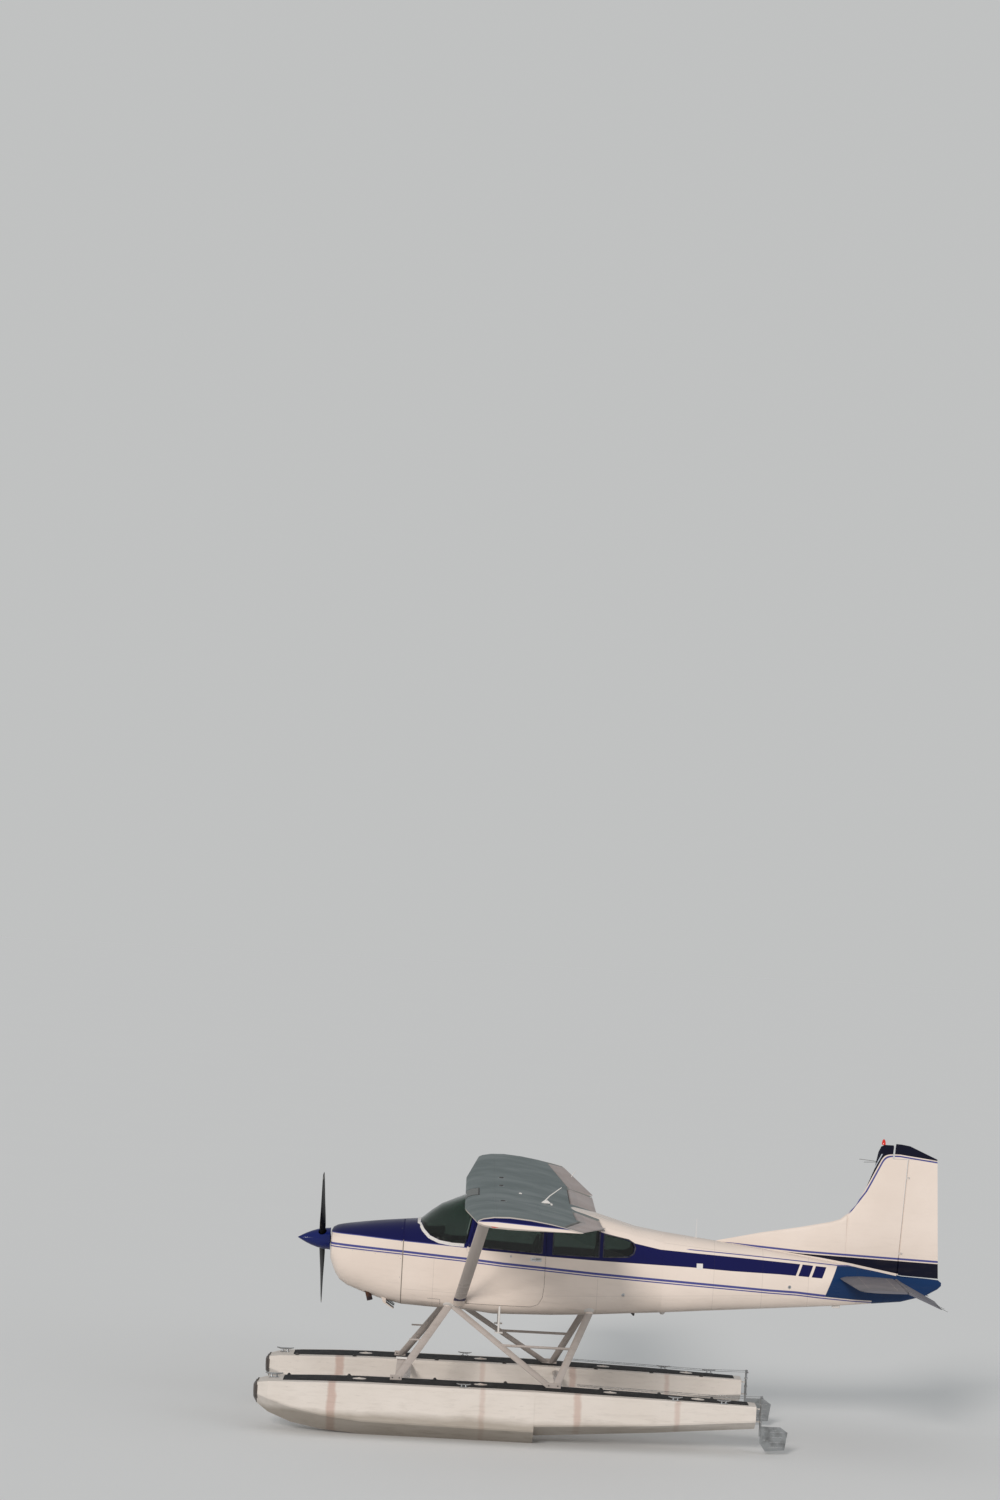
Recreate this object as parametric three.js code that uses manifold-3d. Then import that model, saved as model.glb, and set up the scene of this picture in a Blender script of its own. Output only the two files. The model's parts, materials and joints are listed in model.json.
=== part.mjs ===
// High-wing single-engine utility floatplane, in millimetres.
// Stations run aft (+X) from just behind the spinner's tip, right is +Y.
// Heights run up from the thrust line (+Z).
// The outer group moves that datum so that the origin is on the floor, midway along the aircraft.
import * as THREE from "three";
import { mergeVertices } from "three/addons/utils/BufferGeometryUtils.js";
import Module from "manifold-3d";

const wasm = await Module();
wasm.setup();

// Driving dimensions
const SEAM = 0.3; // gap between pieces that touch
const SWING = 7; // gap beside a moving surface
const KEEL = -2180; // the height of the float keels, on which the aircraft stands
const BOW = -400; // the foremost station, at the float bows
const TAIL_END = 7900; // the last station, at the end of the tail cone
const RING_POINTS = 32; // corners of a body section
const WALL = 30; // cabin wall and door thickness
const FLOOR = -660; // the cabin floor's height
const FIREWALL = 1276; // station of the firewall's middle
const FIREWALL_THICK = 12;
const CABIN_END = 4450; // station where the tail cone begins
const CABIN_HALF = 560; // half width of the roof between the wing roots
const ROOT_LEAD = 2000; // station of the wing's leading edge at the root
const ROOT_CHORD = 1650;
const ROOT_HEIGHT = 605; // height of the chord line's front end at the root
const ROOT_INCIDENCE = THREE.MathUtils.degToRad(5.8); // of the wing from the root to the kink
const TIP_INCIDENCE = THREE.MathUtils.degToRad(2.8);
const FLOAT_MIDDLE = 1300; // a float's centre line from the aircraft's
const PROP_STATION = 270;
const PROP_RADIUS = 1100;
const BLADE_LEAN = THREE.MathUtils.degToRad(40); // of the upper blade, towards the left
const SPINNER_TIP = -35; // station of the spinner's tip
const SPINNER_RADIUS = 134;
const SPINNER_LENGTH = 405;

const paint = (color, roughness = 0.4, metalness = 0) =>
  new THREE.MeshStandardMaterial({ color, roughness, metalness });
const WHITE = paint(0xe9e4dc);
const NAVY = paint(0x1c2766, 0.3);
const BLUE = paint(0x1f4a8c, 0.35);
const GREY = paint(0xa7abb0, 0.5, 0.3);
const SILVER = paint(0xc3c4c4, 0.45, 0.6);
const BLACK = paint(0x18181a, 0.5);
const IRON = paint(0x55565a, 0.6, 0.7);
const GLASS = paint(0x9fb5b0, 0.05);
const CLOTH = paint(0x4b4a50, 0.9);
const TRIM = paint(0x2b2b2e, 0.7);
const RED = paint(0xa52018, 0.3);

// Solids

// A closed geometry as a solid for cutting and joining.
function solid(geometry) {
  const bare = geometry.clone();
  bare.deleteAttribute("normal");
  bare.deleteAttribute("uv");
  const merged = mergeVertices(bare, 1e-4);
  return new wasm.Manifold(
    new wasm.Mesh({
      numProp: 3,
      vertProperties: merged.attributes.position.array,
      triVerts: new Uint32Array(merged.index.array),
    }),
  );
}

// A solid back as a geometry.
function geometryOf(made) {
  const mesh = made.getMesh();
  const points = new Float32Array(mesh.numVert * 3);
  for (let i = 0; i < mesh.numVert; i++) {
    const at = i * mesh.numProp;
    points.set(mesh.vertProperties.subarray(at, at + 3), i * 3);
  }
  const geometry = new THREE.BufferGeometry();
  geometry.setAttribute("position", new THREE.BufferAttribute(points, 3));
  geometry.setIndex(new THREE.BufferAttribute(mesh.triVerts, 1));
  return geometry;
}

// Rings of equally many points, skinned in order and capped at both ends.
// A mirrored loft starts each ring at its right-hand side and splits its two halves alike.
function loft(rings, mirrored = false) {
  const count = rings[0].length;
  const points = rings.flat();
  const faces = [];
  for (let ring = 0; ring < rings.length - 1; ring++) {
    for (let i = 0; i < count; i++) {
      const j = (i + 1) % count;
      const [a, b] = [ring * count + i, ring * count + j];
      const leftHalf = i >= count / 4 && i < (count * 3) / 4;
      if (mirrored && leftHalf) {
        faces.push([a, b, a + count], [b, b + count, a + count]);
      } else {
        faces.push([a, b, b + count], [a, b + count, a + count]);
      }
    }
  }
  for (const ring of [0, rings.length - 1]) {
    const middle = points.length;
    const sum = rings[ring].reduce((s, p) => s.map((v, k) => v + p[k]), [0, 0, 0]);
    points.push(sum.map((v) => v / count));
    for (let i = 0; i < count; i++) {
      const [a, b] = [ring * count + i, ring * count + ((i + 1) % count)];
      faces.push(ring === 0 ? [middle, b, a] : [middle, a, b]);
    }
  }
  const geometry = new THREE.BufferGeometry();
  geometry.setAttribute("position", new THREE.Float32BufferAttribute(points.flat(), 3));
  geometry.setIndex(faces.flat());
  if (solid(geometry).volume() < 0) {
    geometry.setIndex(faces.map(([a, b, c]) => [a, c, b]).flat());
  }
  return solid(geometry);
}

// A box between two corners.
function block([x0, y0, z0], [x1, y1, z1]) {
  const geometry = new THREE.BoxGeometry(x1 - x0, y1 - y0, z1 - z0);
  return solid(geometry.translate((x0 + x1) / 2, (y0 + y1) / 2, (z0 + z1) / 2));
}

// An outline of [station, height] points, drawn out across the aircraft.
function slab(outline, left = -3000, right = 3000) {
  const shape = new THREE.Shape(outline.map(([x, z]) => new THREE.Vector2(x, z)));
  const geometry = new THREE.ExtrudeGeometry(shape, { depth: right - left, bevelEnabled: false });
  return solid(geometry.rotateX(Math.PI / 2).translate(0, right, 0));
}

// A round bar between two points, with its own radius at each end.
function bar(from, to, radius, endRadius = radius, sides = 12) {
  const [a, b] = [new THREE.Vector3(...from), new THREE.Vector3(...to)];
  const geometry = new THREE.CylinderGeometry(endRadius, radius, a.distanceTo(b), sides);
  const turn = new THREE.Quaternion().setFromUnitVectors(
    new THREE.Vector3(0, 1, 0),
    b.clone().sub(a).normalize(),
  );
  const middle = a.clone().add(b).multiplyScalar(0.5);
  return solid(geometry.applyQuaternion(turn).translate(middle.x, middle.y, middle.z));
}

// A streamlined strut between two points, its chord along the aircraft.
function strut(from, to, chord, thick, sides = 12) {
  const [a, b] = [new THREE.Vector3(...from), new THREE.Vector3(...to)];
  const along = b.clone().sub(a).normalize();
  const aft = new THREE.Vector3(1, 0, 0);
  aft.addScaledVector(along, -aft.dot(along)).normalize();
  const across = along.clone().cross(aft);
  const rings = [a, b].map((end) =>
    Array.from({ length: sides }, (_, i) => {
      const turn = (i / sides) * 2 * Math.PI;
      const run = Math.cos(turn);
      const swell = Math.sin(turn) * (run < 0 ? 1 : 1 - 0.45 * run);
      const point = end.clone().addScaledVector(aft, (run * chord) / 2);
      return point.addScaledVector(across, (swell * thick) / 2).toArray();
    }),
  );
  return loft(rings);
}

// Fuselage

// One section of a body: a superellipse above its widest line and another below it.
function bodyRing([station, top, bottom, half, wide, squareTop, squareBottom], grow) {
  return Array.from({ length: RING_POINTS }, (_, i) => {
    const turn = (i / RING_POINTS) * 2 * Math.PI;
    const [c, s] = [Math.cos(turn), Math.sin(turn)];
    const power = 2 / (s > 0 ? squareTop : squareBottom);
    const reach = (s > 0 ? top - wide : wide - bottom) + grow;
    const y = Math.sign(c) * Math.abs(c) ** power * (half + grow);
    return [station, y, wide + Math.sign(s) * Math.abs(s) ** power * reach];
  });
}

// Columns: station, top, bottom, half width, widest height, squareness above, squareness below
const COWL_SECTIONS = [
  [385, 112, -240, 250, -60, 2.3, 2.3],
  [402, 148, -285, 300, -65, 2.3, 2.4],
  [450, 175, -400, 338, -75, 2.3, 2.5],
  [510, 190, -486, 364, -85, 2.4, 2.6],
  [610, 208, -550, 395, -100, 2.4, 2.6],
  [808, 238, -620, 436, -130, 2.4, 2.9],
  [1050, 268, -690, 468, -155, 2.5, 3.3],
  [FIREWALL - FIREWALL_THICK / 2 - SEAM, 292, -733, 490, -170, 2.5, 3.6],
];
const CABIN_SECTIONS = [
  [FIREWALL + FIREWALL_THICK / 2 + SEAM, 293, -735, 492, -170, 2.5, 3.6],
  [1467, 312, -740, 515, -170, 2.5, 3.8],
  [1600, 424, -745, 530, -170, 2.5, 4],
  [1720, 510, -748, 540, -170, 2.6, 4.2],
  [1850, 566, -750, 550, -170, 3, 4.4],
  [2000, 628, -752, 558, -170, 4, 4.6],
  [2120, 640, -756, 560, -170, 7, 4.8],
  [2410, 640, -785, 562, -170, 8, 4.8],
  [3100, 572, -765, 560, -170, 7, 4.6],
  [3620, 480, -735, 542, -170, 4.4, 4.2],
  [4100, 352, -700, 490, -165, 3.2, 3.6],
  [CABIN_END, 300, -677, 447, -165, 2.8, 3.2],
];
const TAIL_SECTIONS = [
  [CABIN_END + SEAM, 300, -677, 447, -165, 2.8, 3.2],
  [5080, 232, -623, 365, -165, 2.4, 2.8],
  [5680, 166, -573, 290, -180, 2.2, 2.5],
  [6550, 54, -496, 180, -200, 2.1, 2.3],
  [7100, -28, -435, 112, -215, 2, 2.2],
  [7410, -86, -400, 76, -235, 2, 2],
  [7711, -98, -311, 44, -195, 2, 2],
  [7860, -110, -222, 24, -160, 2, 2],
  [TAIL_END, -140, -180, 8, -160, 2, 2],
];

const body = (sections, grow = 0) => loft(sections.map((row) => bodyRing(row, grow)), true);
const cabinOuter = body(CABIN_SECTIONS);

// The hollow of the cabin, drawn out past both its open ends and in from the walls by a gap.
function cabinHollow(gap = 0) {
  const PAST = 20;
  const sections = CABIN_SECTIONS.map((row) => [...row]);
  sections[0][0] -= PAST;
  sections[sections.length - 1][0] += PAST;
  return body(sections, -WALL - gap);
}

const cabinShell = cabinOuter.subtract(cabinHollow());
const insideCabin = cabinHollow(SEAM);
const FAR = 9000; // beyond the aircraft on any side

// Wing sections: height above and below the chord line as a share of the chord
// Columns: share of chord, above, below
const AIRFOIL = [
  [0, 0, 0],
  [0.012, 0.0215, 0.0165],
  [0.05, 0.0413, 0.0301],
  [0.15, 0.0661, 0.041],
  [0.3, 0.0788, 0.0412],
  [0.5, 0.0724, 0.0334],
  [0.7, 0.0518, 0.0214],
  [0.9, 0.0208, 0.0082],
  [1, 0.0018, 0.0018],
];

// One closed wing section at a span station, in the plane across the span.
function wingRing([y, lead, chord, height, incidence], grow = 0, thickness = 1) {
  const place = (share, rise) => {
    const [run, up] = [share * chord, rise * chord * thickness];
    const station = lead + run * Math.cos(incidence) + up * Math.sin(incidence);
    return [station, y, height - run * Math.sin(incidence) + up * Math.cos(incidence)];
  };
  const swell = grow / chord;
  const along = (share) => (share === 1 ? 1 + swell : share);
  const over = AIRFOIL.map(([share, above]) => place(along(share), above + swell));
  const under = AIRFOIL.map(([share, , below]) => place(along(share), -below - swell));
  return [place(-swell, 0), ...over.slice(1), ...under.slice(1).reverse()];
}

// Columns: distance from the centre line, leading station, chord, height of the chord's front end, incidence
const ROOT_ROW = [CABIN_HALF + SEAM, ROOT_LEAD, ROOT_CHORD, ROOT_HEIGHT, ROOT_INCIDENCE];
const KINK_ROW = [2540, ROOT_LEAD, ROOT_CHORD, 658, ROOT_INCIDENCE];
const TIP_ROW = [5330, 2143, 1165, 734, TIP_INCIDENCE];
const END_ROW = [5425, 2152, 1145, 737, TIP_INCIDENCE];
const LAST_ROW = [5460, 2185, 1085, 736, TIP_INCIDENCE];

function wingSolid(grow = 0) {
  const rows = [ROOT_ROW, KINK_ROW, TIP_ROW];
  const rings = rows.map((row) => wingRing(row, grow));
  return loft([...rings, wingRing(END_ROW, grow, 0.86), wingRing(LAST_ROW, grow, 0.5)]);
}

// The straight line between two wing rows, at a distance from the centre line.
function wingRow(y) {
  const [inner, outer] = y < KINK_ROW[0] ? [ROOT_ROW, KINK_ROW] : [KINK_ROW, TIP_ROW];
  const share = (y - inner[0]) / (outer[0] - inner[0]);
  return inner.map((value, i) => value + share * (outer[i] - value));
}

// The centre section over the cabin.
function roofSolid(grow = 0) {
  const rows = [-CABIN_HALF - grow, CABIN_HALF + grow];
  return loft(rows.map((y) => wingRing([y, ...ROOT_ROW.slice(1)], grow)));
}

// Moving surfaces

// A tapered surface with a round nose about its hinge line, turned down by droop degrees.
// Columns of stations: hinge point, nose radius, chord behind the hinge
function surface(stations, spanAxis, droop = 0) {
  const NOSE_STEPS = 6;
  const EDGE_HALF = 3;
  const rings = stations.map(({ at, radius, chord }) => {
    const section = [];
    for (let i = 0; i <= NOSE_STEPS; i++) {
      const turn = Math.PI / 2 + (i / NOSE_STEPS) * Math.PI;
      section.push([radius * Math.cos(turn), radius * Math.sin(turn)]);
    }
    section.push([chord, -EDGE_HALF], [chord, EDGE_HALF]);
    const angle = -THREE.MathUtils.degToRad(droop);
    return section.map(([run, rise]) => {
      const aft = run * Math.cos(angle) - rise * Math.sin(angle);
      const side = run * Math.sin(angle) + rise * Math.cos(angle);
      const [x, y, z] = at;
      return spanAxis === "y" ? [x + aft, y, z + side] : [x + aft, y + side, z];
    });
  });
  return loft(rings);
}

// A hinge: a lug on the fixed piece about a pin in a notch of the moving one.
const PIN_RADIUS = 5;
const LUG_HALF = 9;
const LUG_THICK = 8;
const NOTCH_HALF = 12;
const NOTCH_BACK = 17;

// The two pieces with a hinge at a point, whose lug lies across the "y" or "z" hinge line.
function hinged(fixed, moving, [x, y, z], lugReach, spanAxis) {
  const across = spanAxis === "y" ? [0, 1, 0] : [0, 0, 1];
  const spread = (along, side) => [along * across[1] + side * across[2], along * across[2] + side * across[1]];
  const corner = (run, along, side) => {
    const [dy, dz] = spread(along, side);
    return [x + run, y + dy, z + dz];
  };
  const notch = block(corner(-70, -NOTCH_HALF, -70), corner(NOTCH_BACK, NOTCH_HALF, 70));
  const pin = bar(corner(0, -NOTCH_HALF - 2, 0), corner(0, NOTCH_HALF + 2, 0), PIN_RADIUS);
  const hole = bar(corner(0, -20, 0), corner(0, 20, 0), PIN_RADIUS + SEAM + 0.3);
  const lug = block(corner(-lugReach, -LUG_THICK / 2, -LUG_HALF), corner(LUG_HALF, LUG_THICK / 2, LUG_HALF));
  return [fixed.add(lug.subtract(hole)), moving.subtract(notch).add(pin)];
}

// The point at a share of the way between two stations' hinge points.
function hingePoint(stations, share) {
  const [from, to] = [stations[0].at, stations[stations.length - 1].at];
  return from.map((value, i) => value + share * (to[i] - value));
}

const FLAP_INNER = 590;
const FLAP_OUTER = 2530;
const AILERON_INNER = 2560;
const AILERON_OUTER = 5200;
const FLAP_HINGE = 3345; // station of the flap hinges
const AILERON_HINGE_INNER = 3372;
const AILERON_HINGE_OUTER = 3122;
const FLAP_DROOP = 12; // from level, about 6 degrees below the wing's own incidence
const AILERON_DROOP = 5; // from level, in line with the wing

// The hinge point, nose radius and chord of a wing surface at a distance from the centre line.
function wingHinge(y, hingeStation, cover) {
  const [, lead, chord, height, incidence] = wingRow(y);
  const share = (hingeStation - lead) / chord;
  const upper = THREE.MathUtils.mapLinear(share, 0.7, 0.9, 0.0518, 0.0208) * chord;
  const lower = THREE.MathUtils.mapLinear(share, 0.7, 0.9, 0.0214, 0.0082) * chord;
  const middle = height - (hingeStation - lead) * Math.tan(incidence) + (upper - lower) / 2;
  const tail = lead + chord - hingeStation;
  return { at: [hingeStation, y, middle], radius: ((upper + lower) / 2) * cover, chord: tail };
}

const flapStations = [FLAP_INNER, FLAP_OUTER].map((y) => wingHinge(y, FLAP_HINGE, 0.94));
const aileronStations = [
  wingHinge(AILERON_INNER, AILERON_HINGE_INNER, 0.94),
  wingHinge(AILERON_OUTER, AILERON_HINGE_OUTER, 0.94),
];

// The space behind the rear spar that a wing surface swings in.
function bay(stations, gap) {
  const rings = stations.map(({ at: [x, y, z], radius }, i) => {
    const side = y + (i === 0 ? -gap : gap);
    const front = x - radius - gap;
    return [
      [front, side, z - 300],
      [FAR, side, z - 300],
      [FAR, side, z + 300],
      [front, side, z + 300],
    ];
  });
  return loft(rings);
}

// The wing panel with its flap and aileron, hinged to it.
function wingPieces() {
  let wing = wingSolid().subtract(bay(flapStations, SWING)).subtract(bay(aileronStations, SWING));
  let flap = surface(flapStations, "y", FLAP_DROOP);
  let aileron = surface(aileronStations, "y", AILERON_DROOP);
  for (const share of [0.12, 0.88]) {
    const flapLug = flapStations[0].radius + SWING + LUG_HALF;
    [wing, flap] = hinged(wing, flap, hingePoint(flapStations, share), flapLug, "y");
    const aileronLug = aileronStations[0].radius + SWING + LUG_HALF;
    [wing, aileron] = hinged(wing, aileron, hingePoint(aileronStations, share), aileronLug, "y");
  }
  return { wing, flap, aileron };
}

// Floats

// Columns: station, deck height, keel height, chine height, half beam
const FLOAT_SECTIONS = [
  [BOW, -1640, -1800, -1725, 110],
  [-360, -1600, -1868, -1745, 205],
  [-220, -1568, -1972, -1785, 300],
  [60, -1553, -2080, -1865, 368],
  [420, -1540, -2145, -1935, 396],
  [900, -1528, KEEL, -1985, 400],
  [2950, -1522, KEEL, -2005, 400],
];
const AFTERBODY_SECTIONS = [
  [2950, -1522, -2090, -1940, 396],
  [4350, -1545, -1985, -1865, 345],
  [5610, -1580, -1870, -1770, 215],
];
const KEEL_HALF = 22; // half width of the flat keel strip
const CHINE_FLARE = 0.97;

function floatRing([station, deck, keel, chine, half], grow) {
  const [g, y] = [grow, FLOAT_MIDDLE];
  const crown = 0.72;
  const right = [
    [KEEL_HALF + g, keel - g],
    [half * CHINE_FLARE + g, chine - g],
    [half + g, chine + 22],
    [half + g, deck - 24],
    [half * 0.975 + g, deck - 9 + g],
    [half * crown + g, deck + g - 3],
    [half * 0.35, deck + g],
  ];
  const left = right.map(([side, z]) => [-side, z]).reverse();
  return [...right, ...left].map(([side, z]) => [station, y + side, z]);
}

const RUDDER_POST = 5662; // station of the water rudder posts
const POST_RADIUS = 14;

function floatHull(grow = 0) {
  const front = loft(FLOAT_SECTIONS.map((row) => floatRing(row, grow)));
  const rear = loft(AFTERBODY_SECTIONS.map((row) => floatRing([row[0] - 20, ...row.slice(1)], grow)));
  return front.add(rear);
}

function floatWithLugs() {
  const LUG_HALF = 22;
  const LUG_THICK = 10;
  let made = floatHull();
  for (const height of [-1640, -1790]) {
    const low = [5560, FLOAT_MIDDLE - LUG_HALF, height];
    const high = [RUDDER_POST - POST_RADIUS - SEAM, FLOAT_MIDDLE + LUG_HALF, height + LUG_THICK];
    made = made.add(block(low, high));
  }
  return made;
}

function waterRudder() {
  const BLADE_HALF = 4;
  const post = bar([RUDDER_POST, FLOAT_MIDDLE, -1960], [RUDDER_POST, FLOAT_MIDDLE, -1490], POST_RADIUS);
  const blade = slab(
    [
      [RUDDER_POST, -1840],
      [RUDDER_POST, -2040],
      [RUDDER_POST + 70, -2135],
      [RUDDER_POST + 300, -2110],
      [RUDDER_POST + 330, -1900],
      [RUDDER_POST + 240, -1840],
    ],
    FLOAT_MIDDLE - BLADE_HALF,
    FLOAT_MIDDLE + BLADE_HALF,
  );
  const horn = block(
    [RUDDER_POST - 6, FLOAT_MIDDLE - 95, -1512],
    [RUDDER_POST + 22, FLOAT_MIDDLE + 95, -1504],
  );
  return post.add(blade).add(horn);
}

// Float gear: each bar from the belly to the deck, on the right-hand side
const SUNK = 30; // how far a strut's raw end reaches into what carries it before it is cut
const BELLY_FRONT = [1858, 440, -712];
const BELLY_REAR = [3578, 440, -705];
const BELLY_BRACE = [1950, 440, -722];
const DECK_FRONT = [1285, 1240, -1530];
const DECK_REAR = [3190, 1240, -1530];
const DECK_BRACE = [3150, 1240, -1530];
// Chord and thickness of each strut
const FRONT_STRUT = [98, 40];
const REAR_STRUT = [90, 40];
const BRACE = [82, 34];

// The line between two points, drawn out past both ends.
function stretched(from, to, by = SUNK) {
  const [a, b] = [new THREE.Vector3(...from), new THREE.Vector3(...to)];
  const step = b.clone().sub(a).normalize().multiplyScalar(by);
  return [a.sub(step).toArray(), b.add(step).toArray()];
}

// The point at a height on the line between two others.
function atHeight(from, to, height) {
  const share = (height - from[2]) / (to[2] - from[2]);
  return from.map((value, i) => value + share * (to[i] - value));
}

const bodyGrown = body(CABIN_SECTIONS, SEAM);
const floatGrown = floatHull(SEAM);

function gearStrut(from, to, [chord, thick]) {
  return strut(...stretched(from, to), chord, thick).subtract(bodyGrown).subtract(floatGrown);
}

const TUBE_HEIGHT = -1100; // of the tube between the brace and the rear strut
const PEG_HEIGHT = -1085; // of the climbing peg on the front strut
const PEG_REACH = 182;

function gearBrace() {
  const brace = gearStrut(BELLY_BRACE, DECK_BRACE, BRACE);
  const front = atHeight(BELLY_BRACE, DECK_BRACE, TUBE_HEIGHT);
  const back = atHeight(BELLY_REAR, DECK_REAR, TUBE_HEIGHT);
  const grown = (size) => size.map((side) => side + 2 * SEAM);
  const rear = strut(...stretched(BELLY_REAR, DECK_REAR), ...grown(REAR_STRUT));
  const forward = strut(...stretched(BELLY_FRONT, DECK_FRONT), ...grown(FRONT_STRUT));
  const cut = brace.add(bar(front, back, 16)).subtract(forward).subtract(rear);
  return cut.decompose().sort((a, b) => b.volume() - a.volume())[0];
}

function frontGearStrut() {
  const [x, y, z] = atHeight(BELLY_FRONT, DECK_FRONT, PEG_HEIGHT);
  const peg = block([x - PEG_REACH, y - 12, z - 9], [x, y + 12, z + 9]);
  return gearStrut(BELLY_FRONT, DECK_FRONT, FRONT_STRUT).add(peg);
}

function spreader(station) {
  const raw = strut([station, -1100, -1590], [station, 1100, -1590], 92, 44);
  const mirrorFloat = floatGrown.mirror([0, 1, 0]);
  const cut = raw.subtract(floatGrown).subtract(mirrorFloat);
  return cut.decompose().sort((a, b) => b.volume() - a.volume())[0];
}

// Wing struts
const STRUT_FOOT = [1983, 505, -655];
const STRUT_HEAD = [2262, 2560, 600];

function wingStrut() {
  const raw = strut(...stretched(STRUT_FOOT, STRUT_HEAD), 142, 56, 16);
  return raw.subtract(bodyGrown).subtract(wingSolid(SEAM));
}

// Nose
const INTAKE_MIDDLE = 190;
const SHAFT_RADIUS = 32;
const HUB_BACK = 374;
const HUB_RADIUS = 54;
const ENGINE_BOTTOM = -350;
const EXHAUST_TOP = [800, -220, ENGINE_BOTTOM];
const EXHAUST_END = [900, -220, -700];
const EXHAUST_RADIUS = 36;

function cowling() {
  const COWL_WALL = 22;
  const inner = COWL_SECTIONS.map(([station, ...rest], i) => [station + (i === 0 ? 25 : 0), ...rest]);
  inner[1] = [...inner[1]];
  inner[1][0] = 430;
  inner[2] = [...inner[2]];
  inner[2][0] = 470;
  inner[inner.length - 1][0] += 20;
  let made = body(COWL_SECTIONS).subtract(body(inner, -COWL_WALL));
  for (const side of [-1, 1]) {
    const hole = new THREE.CylinderGeometry(1, 1, 80, 20).scale(58, 1, 78);
    hole.rotateZ(Math.PI / 2).translate(400, side * INTAKE_MIDDLE * 0.85, -25);
    made = made.subtract(solid(hole));
    const flap = slab(
      [
        [1035, -640],
        [1062, -712],
        [1192, -788],
        [1196, -780],
        [1098, -716],
        [1096, -640],
      ],
      side > 0 ? 90 : -290,
      side > 0 ? 290 : -90,
    );
    made = made.add(flap.subtract(body(inner, -COWL_WALL)));
  }
  made = made.subtract(block([370, -120, -215], [460, 120, -140]));
  made = made.subtract(bar([300, 0, 0], [450, 0, 0], 64, 64, 24));
  const [top, end] = [EXHAUST_TOP, EXHAUST_END].map((point) => new THREE.Vector3(...point));
  const beyond = top.lerp(end, 1.5).toArray();
  return made.subtract(bar(EXHAUST_TOP, beyond, EXHAUST_RADIUS + 10));
}

function engineBlock() {
  const BLOCK_BACK = 1120;
  let made = block([570, -300, ENGINE_BOTTOM], [BLOCK_BACK, 300, 75]);
  made = made.add(bar([HUB_BACK + SEAM, 0, 0], [590, 0, 0], SHAFT_RADIUS, SHAFT_RADIUS, 20));
  const wallFace = FIREWALL - FIREWALL_THICK / 2 - SEAM;
  for (const [side, height] of [[-1, -300], [1, -300], [-1, 20], [1, 20]]) {
    made = made.add(bar([BLOCK_BACK - 20, side * 240, height], [wallFace, side * 240, height], 18));
  }
  return made;
}

function exhaust() {
  const above = block([0, -FAR, ENGINE_BOTTOM - SEAM], [FAR, FAR, FAR]);
  return bar(EXHAUST_TOP, EXHAUST_END, EXHAUST_RADIUS).subtract(above);
}

function firewall() {
  const front = bodyRing(COWL_SECTIONS[COWL_SECTIONS.length - 1], -2);
  const rear = bodyRing(CABIN_SECTIONS[0], -2);
  const half = FIREWALL_THICK / 2;
  const move = (ring, station) => ring.map(([, y, z]) => [station, y, z]);
  return loft([move(front, FIREWALL - half), move(rear, FIREWALL + half)]);
}

// The spinner's radius at a distance from its tip.
const spinnerRadius = (run) => SPINNER_RADIUS * (1 - (1 - run / SPINNER_LENGTH) ** 2) ** 1.05;

function spinner() {
  const STEPS = 7;
  const SKIN = 5;
  const profile = [];
  for (let i = 0; i <= STEPS; i++) {
    const run = (i / STEPS) ** 1.5 * SPINNER_LENGTH;
    profile.push([spinnerRadius(run), run]);
  }
  const hole = HUB_RADIUS + SEAM + 0.4;
  profile.push([hole, SPINNER_LENGTH], [hole, SPINNER_LENGTH - 8]);
  for (let i = STEPS; i >= 0; i--) {
    const run = SKIN * 2 + (i / STEPS) ** 1.5 * (SPINNER_LENGTH - 8 - SKIN * 2);
    const wide = spinnerRadius(run) - SKIN;
    profile.push([i === 0 ? 0 : Math.max(wide, 1), run]);
  }
  const points = profile.map(([radius, run]) => new THREE.Vector2(radius, -run - SPINNER_TIP));
  let made = solid(new THREE.LatheGeometry(points.reverse(), 28).rotateZ(Math.PI / 2));
  if (made.volume() < 0) {
    made = solid(new THREE.LatheGeometry(points.reverse(), 28).rotateZ(Math.PI / 2));
  }
  const reach = new THREE.Vector3(0, -Math.sin(BLADE_LEAN), Math.cos(BLADE_LEAN)).multiplyScalar(260);
  const port = bar(
    [PROP_STATION, -reach.y, -reach.z],
    [PROP_STATION, reach.y, reach.z],
    52,
    52,
    20,
  );
  return made.subtract(port);
}

// Columns: radius from the shaft, chord, thickness, pitch in degrees
const BLADE_SECTIONS = [
  [30, 66, 60, 50],
  [120, 74, 52, 48],
  [190, 112, 34, 38],
  [330, 140, 24, 27],
  [600, 150, 16, 16],
  [850, 138, 11, 12],
  [1040, 106, 8, 10],
  [PROP_RADIUS, 60, 6, 10],
];

function propeller() {
  const rings = BLADE_SECTIONS.map(([radius, chord, thick, pitch]) => {
    const SIDES = 12;
    const twist = THREE.MathUtils.degToRad(pitch);
    return Array.from({ length: SIDES }, (_, i) => {
      const turn = (i / SIDES) * 2 * Math.PI;
      const [run, rise] = [(Math.cos(turn) * chord) / 2, (Math.sin(turn) * thick) / 2];
      const x = run * Math.sin(twist) + rise * Math.cos(twist);
      return [x, run * Math.cos(twist) - rise * Math.sin(twist), radius];
    });
  });
  const blade = loft(rings);
  const turned = blade.rotate([180, 0, 0]);
  const hub = bar([0.5 * PROP_STATION, 0, 0], [HUB_BACK, 0, 0], HUB_RADIUS, HUB_RADIUS, 24);
  const lean = THREE.MathUtils.radToDeg(BLADE_LEAN);
  return blade.add(turned).rotate([lean, 0, 0]).translate([PROP_STATION, 0, 0]).add(hub);
}

// Cabin

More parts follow.
